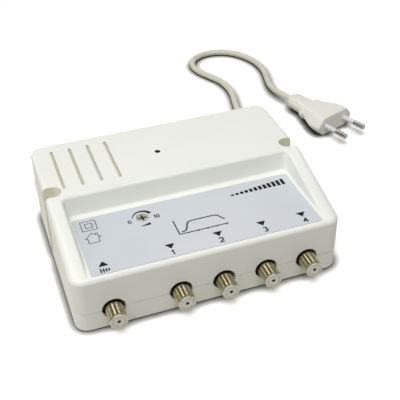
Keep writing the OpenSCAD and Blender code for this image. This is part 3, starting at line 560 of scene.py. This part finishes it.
@dataclass
class Housing:
    """The two moulded shells of the case.

    Faces in the grooves, the screw channels and the lamp hole get darker finishes, which are
    painted shade. Those places have sizes a little past the moulded ones, and depths count
    down from the top.
    """

    smooth_below: float = 32.0
    weld: float = 0.06
    grooves: Sequence[float] = (-62.4, -51.9, -41.4, -30.9)
    groove_half: float = 0.85
    groove_span: Point2 = (7.8, 46.3)
    groove_depths: Point2 = (0.05, 1.25)
    channel: Point2 = (69.0, 6.8)
    channel_r: float = 4.63
    lamp_r: float = 1.9
    lamp_depths: Point2 = (0.02, 5.0)

    def build(self) -> None:
        """Builds both shells with even shading over their roundings."""
        for node, name in (("top_cover", "cover_shell"), ("base_shell", "base_tray")):
            shell = piece(name, welded(node, self.weld), "case_plastic",
                          angle=self.smooth_below)
            even = shell.modifiers.new("even_shading", "WEIGHTED_NORMAL")
            even.mode = "FACE_AREA"
            even.weight = 100
            even.keep_sharp = True
            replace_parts(shell, node)
            # Painted shade in the screw channels, the grooves and the lamp hole.
            inlay(shell, ("painted_channel_shade", "painted_groove_shade", "painted_lamp_hole_shade"), self._spot)
        dress("screw_steel", "case_screws", "board_screws")

    def _spot(self, at: Vector) -> int:
        """Tells which further finish a face has.

        Args:
            at: The face's middle, in millimetres.

        Returns:
            1 in a side's screw channel, 2 in a groove, 3 in the lamp's hole, each a painted shade,
            or 0.
        """
        low, high = self.lamp_depths
        if dist(at.xy, LAMP_AXIS) < self.lamp_r and low < CASE_TOP - at.z < high:
            return 3
        low, high = self.groove_depths
        across = min(abs(at.x - x) for x in self.grooves) < self.groove_half
        along = self.groove_span[0] < at.y < self.groove_span[1]
        if across and along and low < CASE_TOP - at.z < high:
            return 2
        x, y = min(abs(at.x) - self.channel[0], 0.0), at.y - self.channel[1]
        return int(hypot(x, y) < self.channel_r)


@dataclass
class MainsLead:
    """The mains cord, its strain relief and the tie of its hank."""

    diameter: float = 4.5
    start: Point3 = (60.0, 79.0, 12.0)
    hank_x: float = -8.0
    hank_y: float = 82.0
    run: float = 80.0
    wide_r: float = 20.5
    step: float = 2.8
    rise: float = 5.0
    draw: float = 10.0
    lift: float = 1.0
    clear: float = 0.1
    runs: int = 6
    parts: int = 6
    roundness: int = 6
    length: float = 1120.5
    first: Sequence[Point3] = (
        (59.2, 90, 11.2), (56.4, 96.5, 9.3), (51.2, 101.2, 6.6), (44.8, 103.4, 4),
    )
    last: Sequence[Point3] = (
        (43, 62.7, 6.5), (51, 62, 4.9), (59, 62, 3.4), (67, 63.3, 2.4),
        (75, 67.5, 2.25), (81.5, 75, 2.25), (85, 85, 2.25), (86, 97, 2.25), (85.5, 110, 2.25),
        (86, 122, 2.25), (88.5, 134, 2.25), (91, 145, 2.25), (92, 157, 2.25), (90, 169.5, 2.25),
        (84.5, 181, 2.25), (79.5, 192.5, 2.25), (79, 204, 2.25), (85, 214.1, 2.25),
        (96, 219.0, 2.25), (108.5, 217.6, 2.25), (119, 210.5, 2.25), (126, 199.5, 2.25),
        (129.5, 187, 2.25), (129.6, 175, 2.25), (127.4, 164, 2.25), (124.8, 154, 2.6),
        (122.9, 144, 3.8), (122.3, 134, 5.4),
    )

    def _hank(self) -> list[Vector]:
        """Lays the tied hank: runs with a waist, joined by folds, in two layers.

        Returns:
            Its centre line, in millimetres.
        """
        hank = []
        middle = self.runs // 2
        for k in range(self.runs):
            side = 1 if k % 2 == 0 else -1
            here, there = (self.wide_r - self.step * min(j, self.runs - j) for j in (k, k + 1))
            for i in range(self.parts + 1):
                t = i / self.parts
                waist = (1 - cos(tau * t)) / 2
                climb = (1 - cos(pi * t)) / 2 if k == middle else int(k > middle)
                hank.append(Vector((-side * (t - 0.5) * self.run,
                                    side * (here - self.draw * waist),
                                    self.lift * waist + self.rise * climb)))
            for i in range(1, self.parts if k < self.runs - 1 else 1):
                turn = pi * i / self.parts
                radius, shift = (here + there) / 2, (here - there) / 2
                hank.append(Vector((-side * (self.run / 2 + radius * sin(turn)),
                                    side * (shift + radius * cos(turn)),
                                    self.rise * int(k >= middle))))
        return [Vector((self.hank_x, self.hank_y, self.diameter / 2)) + point for point in hank]

    def route(self) -> list[Vector]:
        """Leads the cord from strain relief to plug.

        Returns:
            Its centre line, in millimetres.
        """
        hank = self._hank()
        turn = radians(PLUG_TURN)
        start, entry = Vector(self.start), Vector(PLUG_ENTRY)
        out, begin, end, back = (self.diameter * way.normalized() for way in (
            Vector((0, 1, 0)), hank[1] - hank[0], hank[-1] - hank[-2],
            Vector((-sin(turn), cos(turn), 0))))
        return [start, start + out, *map(Vector, self.first), hank[0] - begin, *hank,
                hank[-1] + end, *map(Vector, self.last), entry + back, entry]

    def _curve(self) -> Curve:
        """Lays a round curve along the route, nowhere below the floor.

        Returns:
            The curve.
        """
        points = self.route()
        lowest = self.diameter / 2 + self.clear
        curve = bpy.data.curves.new("mains_cord", "CURVE")
        curve.dimensions = "3D"
        curve.bevel_depth = self.diameter / 2 * MM
        curve.bevel_resolution = curve.resolution_u = self.roundness
        curve.use_fill_caps = True
        spline = curve.splines.new("BEZIER")
        spline.bezier_points.add(len(points) - 1)
        for i, knot in enumerate(spline.bezier_points):
            at, before = points[i], points[max(i - 1, 0)]
            after = points[min(i + 1, len(points) - 1)]
            way = (after - before).normalized()
            at.z = max(at.z, lowest)
            arms = (at - way * (at - before).length / 3, at + way * (after - at).length / 3)
            for arm in arms:
                arm.z = max(arm.z, lowest)
            knot.handle_left_type = knot.handle_right_type = "FREE"
            knot.co = at * MM
            knot.handle_left, knot.handle_right = (arm * MM for arm in arms)
        log.info("mains_cord: %d route points", len(points))
        return curve

    def build(self, with_pieces: Iterable[Object]) -> None:
        """Args:
            with_pieces: The separate pieces on the cord. Not used.
        """
        cord = placed("mains_cord", self._curve())
        coat(cord, "cord_sheath")
        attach(cord, Body.CASE.value)
        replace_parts(cord, "cord_case_lead", "cord_hank", "cord_plug_lead")
        dress("cord_sheath", "cord_gland")
        dress("tie_plastic", "cord_tie")
        tuple(mm(*self.start))


@dataclass
class MainsPlug:
    """The flat two-pin plug at the cord's end.

    Its sections are rows of distance from the cord, width, flat width and thickness.
    """

    smooth_below: float = 28.0
    rounding: float = 1.8
    rounding_share: float = 0.4
    rounding_steps: int = 6
    rib_pitch: float = 1.9
    rib_depth: float = 0.35
    rib_width: float = 1.0
    rib_slope: float = 0.25
    rib_from: float = 4.2
    rib_to: float = 17.4
    sections: Sequence[Row] = (
        (0, 8, 5, 6.6), (3, 13.2, 9.6, 8.6), (18.4, 15.6, 11, 9.4), (18.6, 23, 16, 10.4),
        (20.6, 23, 16, 10.4), (21, 20.6, 14.6, 10.6), (27.35, 27.9, 18, 12.06),
        (33.1, 33.9, 22, 13.7), (37.6, 35.3, 23.6, 13.7), (42.9, 35.3, 23.6, 13.7),
        (43.6, 33.9, 22.6, 12.5),
    )

    def _outline(self, width: float, flat: float, thick: float) -> list[Point2]:
        """Returns a six-sided outline with rounded corners.

        Args:
            width: Full width at mid height.
            flat: Width of the flat top and bottom.
            thick: Full thickness.

        Returns:
            The outline's points, in millimetres.
        """
        corners = [Vector(p) for p in (
            (width / 2, 0), (flat / 2, thick / 2), (-flat / 2, thick / 2),
            (-width / 2, 0), (-flat / 2, -thick / 2), (flat / 2, -thick / 2))]
        outline = []
        for before, corner, after in zip(corners[-1:] + corners, corners, corners[1:] + corners):
            a, b = (corner + way.normalized() * min(self.rounding, way.length * self.rounding_share)
                    for way in (before - corner, after - corner))
            for i in range(self.rounding_steps + 1):
                t = i / self.rounding_steps
                outline.append(tuple(a * (1 - t) ** 2 + corner * 2 * t * (1 - t) + b * t * t))
        return outline

    def _rows(self) -> list[Row]:
        """Cuts the plug across at its sections and at the neck's ribs.

        Returns:
            Rows as the sections are.
        """
        cuts = {(section[0], 0.0) for section in self.sections}
        for i in range(int((self.rib_to - self.rib_from) / self.rib_pitch)):
            start = self.rib_from + i * self.rib_pitch
            end = start + self.rib_width
            cuts |= {(start, 0.0), (start + self.rib_slope, self.rib_depth),
                     (end - self.rib_slope, self.rib_depth), (end, 0.0)}
        rows = []
        for at, inset in sorted(cuts):
            pairs = zip(self.sections, self.sections[1:])
            near, far = next(pair for pair in pairs if at <= pair[1][0])
            share = (at - near[0]) / (far[0] - near[0])
            rows.append((at, *(a + (b - a) * share - 2 * inset for a, b in zip(near[1:], far[1:]))))
        return rows

    def build(self) -> list[Object]:
        """Builds the plug's body and dresses its pins.

        Returns:
            The pieces that hang on the cord.
        """
        bm = bmesh.new()
        rings = [[bm.verts.new(mm(x, -at, z)) for x, z in self._outline(*sizes)]
                 for at, *sizes in self._rows()]
        loft(bm, rings)
        bm.faces.new(rings[0])
        bm.faces.new(rings[-1])
        turn = Matrix.Rotation(radians(PLUG_TURN), 4, "Z")
        bm.transform(Matrix.Translation(mm(*PLUG_ENTRY)) @ turn)
        body = piece("plug_shell", bm, "plug_plastic", angle=self.smooth_below)
        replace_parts(body, "plug_body")
        dress("pin_nickel", "plug_pins")
        dress("sleeve_plastic", "plug_pin_sleeves")
        return [body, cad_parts["plug_pins"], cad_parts["plug_pin_sleeves"]]


@dataclass
class SocketRow:
    """The coaxial sockets along the front, with screw threads."""

    places: Sequence[tuple[str, float]] = (
        ("antenna_socket", -54.0), ("tv_socket_1", -18.0), ("tv_socket_2", 6.0),
        ("tv_socket_3", 30.0), ("tv_socket_4", 54.0),
    )
    smooth_below: float = 42.0
    height: float = 12.0
    radius: float = 4.75
    bore: float = 3.3
    bore_bevel: float = 0.15
    back: float = 48.5
    back_r: float = 3.9
    flange: Point2 = (50.5, 52.5)
    flange_r: float = 5.5
    neck_r: float = 4.5
    thread: Point2 = (55.4, 64.3)
    pitch: float = 0.794
    depth: float = 0.17
    turn_rows: int = 9
    tip: float = 65.4
    chamfer: float = 0.45
    margin: float = 0.1
    entry_r: float = 1.0
    entry_depth: float = 0.2
    steps: int = 48

    def _profile(self) -> list[Point3]:
        """Draws a barrel's outline from its bore at the back to its bore at the tip.

        Returns:
            Rows of distance to the front, radius and share of thread depth.
        """
        rows = [(self.back, self.bore), (self.back, self.back_r), (self.flange[0], self.back_r),
                (self.flange[0], self.flange_r), (self.flange[1], self.flange_r),
                (self.flange[1], self.neck_r), (self.thread[0], self.neck_r)]
        end = [(self.tip - self.chamfer, self.radius), (self.tip, self.radius - self.chamfer),
               (self.tip, self.bore + self.bore_bevel), (self.tip - self.bore_bevel, self.bore)]
        length = self.thread[1] - self.thread[0]
        count = round(length / self.pitch * self.turn_rows)
        cut = [(self.thread[0] + length * i / count, self.radius,
                min(1.0, i / self.turn_rows, (count - i) / self.turn_rows))
               for i in range(count + 1)]
        return [*((*row, 0.0) for row in rows), *cut, *((*row, 0.0) for row in end)]

    # Painted shade: the faces behind the thread, with the flange seen through the hole, get a dark
    # finish.
    def _spot(self, at: Vector) -> int:
        """Tells which further finish a barrel's face has from its middle, in millimetres."""
        parts = (-at.y < self.thread[0] - self.margin, -at.y > self.tip - self.chamfer,
                 -at.y > self.tip - self.margin)
        return max(i * int(here) for i, here in enumerate(parts, 1))

    def _barrel(self, node: str, x: float) -> None:
        """Builds one threaded socket.

        Args:
            node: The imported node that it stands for.
            x: Its place along the front, in millimetres.
        """
        bm = bmesh.new()
        rings = []
        for at, radius, share in self._profile():
            ring = []
            for k in range(self.steps):
                turn = tau * k / self.steps
                wave = (1 - cos(tau * at / self.pitch + turn)) / 2
                r = radius - self.depth * share * wave
                ring.append(bm.verts.new(
                    mm(x + r * cos(turn), -at, self.height + r * sin(turn))))
            rings.append(ring)
        loft(bm, rings, closed=True)
        barrel = piece(node.replace("socket", "barrel"), bm, "nickel",
                       angle=self.smooth_below)
        # Painted shade behind the thread. The chamfer and the tip face keep finishes of their own.
        inlay(barrel, ("painted_flange_shade", "rim_nickel", "tip_nickel"), self._spot)
        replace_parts(barrel, node)

    def _in_entry(self, at: Vector) -> int:
        """Tells whether an insulator's face lies in its bore, from its middle in millimetres."""
        off = min(hypot(at.x - x, at.z - self.height) for _, x in self.places)
        return int(off < self.entry_r and at.y > self.entry_depth - self.tip)

    def build(self) -> None:
        """Builds the barrels and the insulators with painted shade in their bores and dresses the
        contacts.
        """
        for node, x in self.places:
            self._barrel(node, x)
        plugs = piece("insulator_plugs", welded("socket_insulators"), "insulator_plastic")
        # Painted shade in the entry of each insulator's bore.
        inlay(plugs, ("painted_bore_shade",), self._in_entry)
        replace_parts(plugs, "socket_insulators")
        dress("contact_brass", "socket_contacts")


def response(step: int, pitch: float = 0.45, slope: float = 0.65, up: Point2 = (6.0, 7.4),
             down: Point2 = (34.0, 5.4)) -> Point2:
    """Returns a point of a curve that rises and then falls, each by (middle step, height)."""
    rise, fall = (height / (1 + exp(middle - slope * step)) for middle, height in (up, down))
    return pitch * step, rise - fall


@dataclass
class Line:
    """A printed line, drawn about a place of its own."""

    at: Point2
    points: Points
    width: float
    closed: bool = False
    layer: int = 0
    scale: float = 1.0


@dataclass
class FrontPanel:
    """The printed label in the recessed panel."""

    DIGITS = {
        "0": [arc((0.3, 0.5), (0.3, 0.5), (90, 450), 24)],
        "1": [[(0.08, 0.76), (0.36, 1.0), (0.36, 0.0)]],
        "2": [[*arc((0.3, 0.7), (0.3, 0.3), (165, -38)), (0.0, 0.0), (0.64, 0.0)]],
        "3": [arc((0.28, 0.76), (0.26, 0.24), (150, -90)),
              arc((0.28, 0.26), (0.31, 0.26), (90, -150))],
        "4": [[(0.48, 1.0), (0.0, 0.3), (0.68, 0.3)], [(0.48, 0.0), (0.48, 1.0)]],
    }
    top: float = 34.2
    ink: float = 0.03
    layer: float = 0.004
    sharpest: float = 0.5
    outputs: Points = ((-19.6, -44.2), (6.9, -43.6), (31.6, -43.8), (54.6, -44.2))
    output_arrow: Points = ((-2.6, 1.8), (0, -2.0), (2.6, 1.8))
    output_digit: Point2 = (-1.0, -6.8)
    output_type: Point2 = (3.4, 0.8)
    antenna: Point2 = (-55.4, -45.2)
    antenna_arrow: Points = ((-2.6, -1.7), (2.6, -1.7), (0, 2.0))
    scale_r: float = 5.4
    scale_turns: Point2 = (172.0, 25.0)
    scale_halves: Point2 = (0.2, 0.9)
    scale_parts: int = 24
    scale_digits: Sequence[tuple[str, Point2]] = (
        ("0", (-34.6, -19.0)), ("1", (-20.6, -19.0)), ("0", (-18.9, -19.0)),
    )
    scale_type: Point2 = (2.5, 0.6)
    scale_ramp: Points = ((-2.8, -7.4), (2.8, -7.4), (2.8, -5.4), (-2.8, -7.1))
    lines: Sequence[Line] = (
        # The small aerial: its boom and its rods.
        Line((-55.4, -50.1), ((-2.6, 0), (2.6, 0)), 0.55),
        *(Line((-57.5 + 1.4 * i, -50.1), ((0, 0.3 * i - 1.9), (0, 1.9 - 0.3 * i)), 0.6, layer=1)
          for i in range(4)),
        # The double square and the house.
        *(Line((-55.2, -13.0), ((-1, -1), (1, -1), (1, 1), (-1, 1)), 0.4, True, scale=half)
          for half in (4.0, 1.9)),
        Line((-55.2, -27.6), (
            (-2.9, 0), (-2.9, 4.0), (-4.2, 4.0), (0, 8.0), (1.9, 6.2), (1.9, 7.4), (2.9, 7.4),
            (2.9, 5.2), (4.2, 4.0), (2.9, 4.0), (2.9, 0)), 0.4, True),
        # The level bars.
        *(Line((26.45 + 2.85 * i, -15.6), ((0, 0), (0, 1.4 + 0.36 * i)), 1.9) for i in range(12)),
        # The response curve, its axes and their ticks.
        Line((-10.4, -35.4), tuple(map(response, range(57))), 0.8),
        Line((-12.0, -37.0), ((0, 12.0), (0, 0), (27.5, 0)), 0.7),
        *(Line((-6.9 + 5.2 * i, -37.9), ((0, 0), (0, 0.7)), 0.6, layer=1) for i in range(5)),
    )
    marks: list[tuple[list[Point2], int]] = field(default_factory=list)

    def build(self) -> None:
        """Dresses the film and prints its marks."""
        dress("label_film", "panel_label")
        right, up = self.output_digit
        for number, (x, y) in enumerate(self.outputs, 1):
            self._patch((x, y), self.output_arrow)
            self._digit(str(number), (x + right, y + up), self.output_type)
        self._patch(self.antenna, self.antenna_arrow)
        self._gain_scale()
        for line in self.lines:
            self._stroke(line)
        self._print()

    def _patch(self, at: Point2, corners: Iterable[Point2]) -> None:
        """Adds a filled patch about a place to the print."""
        self.marks.append(([(at[0] + x, at[1] + y) for x, y in corners], 0))

    def _digit(self, digit: str, at: Point2, size: Point2) -> None:
        """Adds a number of that height and line width to the print."""
        for layer, shape in enumerate(self.DIGITS[digit]):
            self._stroke(Line(at, shape, size[1], layer=layer, scale=size[0]))

    def _stroke(self, line: Line) -> None:
        """Adds a line of even width with mitred corners to the print.

        Args:
            line: The line.
        """
        points = [Vector(line.at) + Vector(p) * line.scale for p in line.points]
        ends = (2 * points[0] - points[1], 2 * points[-1] - points[-2])
        if line.closed:
            ends = (points[-1], points[0])
        rim = []
        for before, at, after in zip([ends[0], *points], points, [*points[1:], ends[1]]):
            ways = [(at - before).normalized(), (after - at).normalized()]
            sides = [Vector((-way.y, way.x)) for way in ways]
            mitre = (sides[0] + sides[1]).normalized()
            reach = mitre * line.width / 2 / max(mitre.dot(sides[0]), self.sharpest)
            rim.append((tuple(at + reach), tuple(at - reach)))
        for near, far in zip(rim, rim[1:] + (rim[:1] if line.closed else [])):
            self.marks.append(([near[0], near[1], far[1], far[0]], line.layer))

    def _gain_scale(self) -> None:
        """Adds the swelling arc, the end numbers and the ramp of the gain scale."""
        rows = []
        for i in range(self.scale_parts + 1):
            turn, half = (a + (b - a) * i / self.scale_parts
                          for a, b in (self.scale_turns, self.scale_halves))
            x, y = cos(radians(turn)), sin(radians(turn))
            rows.append([(r * x, r * y) for r in (self.scale_r + half, self.scale_r - half)])
        for near, far in zip(rows, rows[1:]):
            self._patch(TRIMMER_AXIS, (near[0], near[1], far[1], far[0]))
        for digit, at in self.scale_digits:
            self._digit(digit, at, self.scale_type)
        self._patch(TRIMMER_AXIS, self.scale_ramp)

    def _print(self) -> None:
        """Lays all marks on the film as one thin print."""
        bm = bmesh.new()
        for mark, layer in self.marks:
            height = self.top - layer * self.layer
            bm.faces.new([bm.verts.new(mm(x, y, height)) for x, y in mark])
        bmesh.ops.remove_doubles(bm, verts=bm.verts, dist=WELD_REACH * MM)
        rim = [tuple(edge.verts) for edge in bm.edges if edge.is_boundary]
        over = {vert: bm.verts.new(vert.co + mm(0, 0, self.ink)) for vert in list(bm.verts)}
        for face in list(bm.faces):
            bm.faces.new([over[vert] for vert in face.verts])
        for a, b in rim:
            bm.faces.new((a, b, over[b], over[a]))
        piece("panel_print", bm, "print_ink")


@dataclass
class GainControl:
    """The gain trimmer under the panel."""

    top: float = 34.0
    slot_r: float = 2.8
    slot_depths: Point2 = (0.1, 2.0)

    def _in_slot(self, at: Vector) -> int:
        """Tells whether a spindle's face lies in its slot, from its middle in millimetres."""
        low, high = self.slot_depths
        return int(dist(at.xy, TRIMMER_AXIS) < self.slot_r and low < self.top - at.z < high)

    def build(self) -> None:
        """Builds the spindle with painted shade in its slot and dresses the trimmer's body."""
        dress("component_plastic", "gain_trimmer_body")
        spindle = piece("gain_spindle", welded("gain_trimmer_rotor"), "rotor_plastic",
                        Body.ROTOR)
        # Painted shade inside the slot.
        inlay(spindle, ("painted_slot_shade",), self._in_slot)
        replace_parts(spindle, "gain_trimmer_rotor")


@dataclass
class PilotLamp:
    """The indicator lamp in the top."""

    length: float = 5.0
    radius: float = 1.5
    collar: float = 1.9
    collar_h: float = 1.0
    steps: int = 40
    rows: int = 12

    def build(self) -> None:
        """Turns the domed lens with its collar and dresses the leads."""
        foot, round_r = CASE_TOP - self.length, (self.radius, self.radius)
        dome = arc((0.0, CASE_TOP - self.radius), round_r, (0, 90), self.rows)[:-1]
        bm = bmesh.new()
        rings = []
        for r, z in ((self.collar, foot), (self.collar, foot + self.collar_h),
                     (self.radius, foot + self.collar_h), *dome):
            ring = arc(LAMP_AXIS, (r, r), (0, 360), self.steps)[:-1]
            rings.append([bm.verts.new(mm(*point, z)) for point in ring])
        loft(bm, rings)
        bm.faces.new(rings[0])
        tip = bm.verts.new(mm(*LAMP_AXIS, CASE_TOP))
        for a, b in zip(rings[-1], rings[-1][1:] + rings[-1][:1]):
            bm.faces.new((a, b, tip))
        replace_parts(piece("lamp_lens", bm, "led_lens"), "power_led")
        dress("tinned_sheet", "led_leads")


@dataclass
class Electronics:
    """What the case hides: the board, its screen and the power supply."""

    def build(self) -> None:
        """Dresses each component."""
        dress("board_laminate", "circuit_board")
        dress("tinned_sheet", "shield_frame", "shield_lid", "mains_fuse")
        dress("core_iron", "transformer_core", "splitter_cores")
        dress("component_plastic", "transformer_bobbin", "smoothing_capacitor",
              "voltage_regulator", "rectifier_diodes", "amplifier_transistors")
        dress("winding_tape", "primary_coil", "secondary_coil")
        dress("wire_brown", "live_lead")
        dress("wire_blue", "neutral_lead")


@dataclass
class PhotoCamera:
    """The camera at the photograph's viewing angle."""

    azimuth: float = -19.205
    elevation: float = 36.916
    roll: float = -1.055
    distance: float = 431.65
    target: Point3 = (12.36, 0.0, 24.19)
    lens: float = 67.38
    sensor: float = 36.0
    nearest: float = 10.0

    def build(self) -> None:
        """Places the camera and makes it the scene's."""
        data = bpy.data.cameras.new("photo_camera")
        data.lens = self.lens
        data.sensor_width = self.sensor
        data.clip_start = self.nearest * MM
        camera = placed("photo_camera", data)
        place = Matrix.Translation(mm(*self.target))
        for angle, axis in ((self.azimuth, "Z"), (90 - self.elevation, "X"), (self.roll, "Z")):
            place @= Matrix.Rotation(radians(angle), 4, axis)
        camera.matrix_world = place @ Matrix.Translation(mm(0, 0, self.distance))
        bpy.context.scene.camera = camera


@dataclass
class SoftLamp:
    """A soft lamp: places in millimetres, size in metres, power in watts."""

    name: str
    place: Point3
    aim: Point3
    size: Point2
    energy: float
    tint: Point3 = (1.0, 1.0, 0.985)

    def build(self) -> None:
        """Hangs the lamp and points it."""
        data = bpy.data.lights.new(self.name, "AREA")
        data.shape = "RECTANGLE"
        data.size, data.size_y = self.size
        data.energy = self.energy
        data.color = self.tint
        lamp = placed(self.name, data)
        lamp.location = mm(*self.place)
        way = mm(*self.aim) - mm(*self.place)
        lamp.rotation_euler = way.to_track_quat("-Z", "Y").to_euler()


def sheet(name: str, width: float, height: float) -> Object:
    """Makes a flat sheet of the stage.

    Args:
        name: Its name.
        width: Its width, in millimetres.
        height: Its height, in millimetres.

    Returns:
        The sheet.
    """
    bm = bmesh.new()
    bmesh.ops.create_grid(bm, x_segments=1, y_segments=1, size=0.5 * MM)
    bmesh.ops.scale(bm, vec=(width, height, 1), verts=bm.verts)
    mesh = bpy.data.meshes.new(name)
    bm.to_mesh(mesh)
    bm.free()
    obj = placed(name, mesh)
    return obj


@dataclass
class StripCard:
    """A card over the part, which shows as a streak along the metal.

    Its turn is the angle over the socket row, in degrees. A strength of 1 shows the
    colour as it is written.
    """

    turn: float
    width: float
    away: float
    colour: Rgb
    strength: float = 1.0
    length: float = 1400.0

    def build(self, name: str) -> None:
        """Stands the card where only reflections show it.

        Args:
            name: Its name.
        """
        turn = radians(self.turn)
        way = Vector((cos(turn), 0.0, sin(turn)))
        card = sheet(name, self.length, self.width)
        facing = (-way).to_track_quat("Z", "Y").to_matrix().to_4x4()
        card.matrix_world = Matrix.Translation(way * self.away * MM) @ facing
        for ray in ("camera", "diffuse", "shadow", "transmission", "volume_scatter"):
            setattr(card, "visible_" + ray, False)
        c = Coating(name)
        c.set(Base_Color=BLACK, Specular_IOR_Level=0.0, Emission_Color=linear(self.colour),
              Emission_Strength=self.strength)
        card.data.materials.append(c.material)


@dataclass
class Studio:
    """White floor, soft lamps, cards for the metal and a pale surround."""

    ambient: float = 0.34
    ambient_tint: Point3 = (1.0, 0.99, 0.95)
    floor_size: float = 6000.0
    floor_drop: float = 0.05
    floor_grey: float = 0.42
    floor_tint: Point3 = (1.0, 0.965, 0.87)
    floor_level: float = 1.6
    floor_middle: Point3 = (40.0, 50.0, 0.0)
    floor_fade: Point2 = (220.0, 420.0)
    # Reach, strength and samples of the painted contact shadow on the floor.
    contact_reach: float = 6.0
    contact_dark: float = 3.0
    contact_samples: int = 12
    lamps: Sequence[SoftLamp] = (
        SoftLamp("top_lamp", (-180, -260, 855), (0, 0, 20), (0.8, 0.6), 5.5),
        SoftLamp("left_lamp", (-760, -60, 380), (-40, 0, 20), (0.5, 0.4), 1.0),
    )
    cards: Sequence[StripCard] = (
        StripCard(31, 260, 900, (60, 50, 24)),
        StripCard(50, 180, 900, (120, 106, 70)),
        StripCard(71, 150, 700, (255, 250, 234), 2.6),
        StripCard(92, 700, 800, (26, 20, 4)),
        StripCard(113, 170, 700, (255, 250, 234), 3.2),
        StripCard(134, 600, 800, (92, 80, 46)),
        StripCard(167, 360, 900, (122, 108, 72)),
    )

    def build(self) -> None:
        """Builds the floor, the lamps, the cards and the surround."""
        bpy.context.scene.view_settings.view_transform = "Standard"
        self._floor()
        for lamp in self.lamps:
            lamp.build()
        for i, card in enumerate(self.cards):
            card.build("strip_card_%d" % i)
        self._world()

    def _floor(self) -> None:
        """Builds the floor: white to the camera, with the lamps' shadow and a painted contact
        shadow.
        """
        floor = sheet("floor", self.floor_size, self.floor_size)
        floor.location.z = -self.floor_drop * MM
        c = Coating("floor_paper")
        path = c.add("LightPath").outputs
        mirrored = c.calc("MAXIMUM", path["Is Glossy Ray"], path["Is Transmission Ray"])
        pale = c.span(mirrored, 0.0, 1.0, self.floor_grey, 1.0)
        tinted = c.blend(1.0, pale, (*self.floor_tint, 1.0), "MULTIPLY")
        # Painted contact shadow: occlusion darkens the floor's colour for the camera near the part.
        near = c.add("AmbientOcclusion", {"Distance": self.contact_reach * MM},
                     samples=self.contact_samples).outputs["AO"]
        shade = c.calc("MULTIPLY", c.calc("POWER", near, self.contact_dark), self.floor_level)
        paper = c.blend(path["Is Camera Ray"], tinted, shade)
        ground = c.add("BsdfDiffuse", {"Color": paper}).outputs[0]
        white = c.add("Emission", {"Color": WHITE}).outputs[0]
        away = c.vector("DISTANCE", c.place(), mm(*self.floor_middle))["Value"]
        far = c.span(away, *(edge * MM for edge in self.floor_fade))
        fade = c.calc("MULTIPLY", far, path["Is Camera Ray"])
        c.put(c.end, {0: c.add("MixShader", {0: fade, 1: ground, 2: white}).outputs[0]})
        floor.data.materials.append(c.material)

    def _world(self) -> None:
        """Builds the surround: white where it is seen, dimmer as light."""
        world = bpy.data.worlds.new("surround")
        world.use_nodes = True
        world.node_tree.nodes.clear()
        w = Wiring(world.node_tree)
        path = w.add("LightPath").outputs
        seen = w.calc("MAXIMUM", path["Is Camera Ray"], path["Is Glossy Ray"])
        seen = w.calc("MAXIMUM", seen, path["Is Transmission Ray"])
        dim = (*(self.ambient * part for part in self.ambient_tint), 1.0)
        ground = w.add("Background", {"Color": w.blend(seen, dim, WHITE)})
        w.add("OutputWorld", {0: ground.outputs[0]})
        bpy.context.scene.world = world


def main() -> None:
    """Builds the camera, the sub-assemblies and the studio in order."""
    logging.basicConfig(level=logging.INFO, format="%(name)s %(message)s")
    PhotoCamera().build()
    on_cord = MainsPlug().build()
    MainsLead().build(on_cord)
    Housing().build()
    SocketRow().build()
    FrontPanel().build()
    GainControl().build()
    PilotLamp().build()
    Electronics().build()
    Studio().build()
    bpy.context.view_layer.update()


if __name__ == "__main__":
    main()
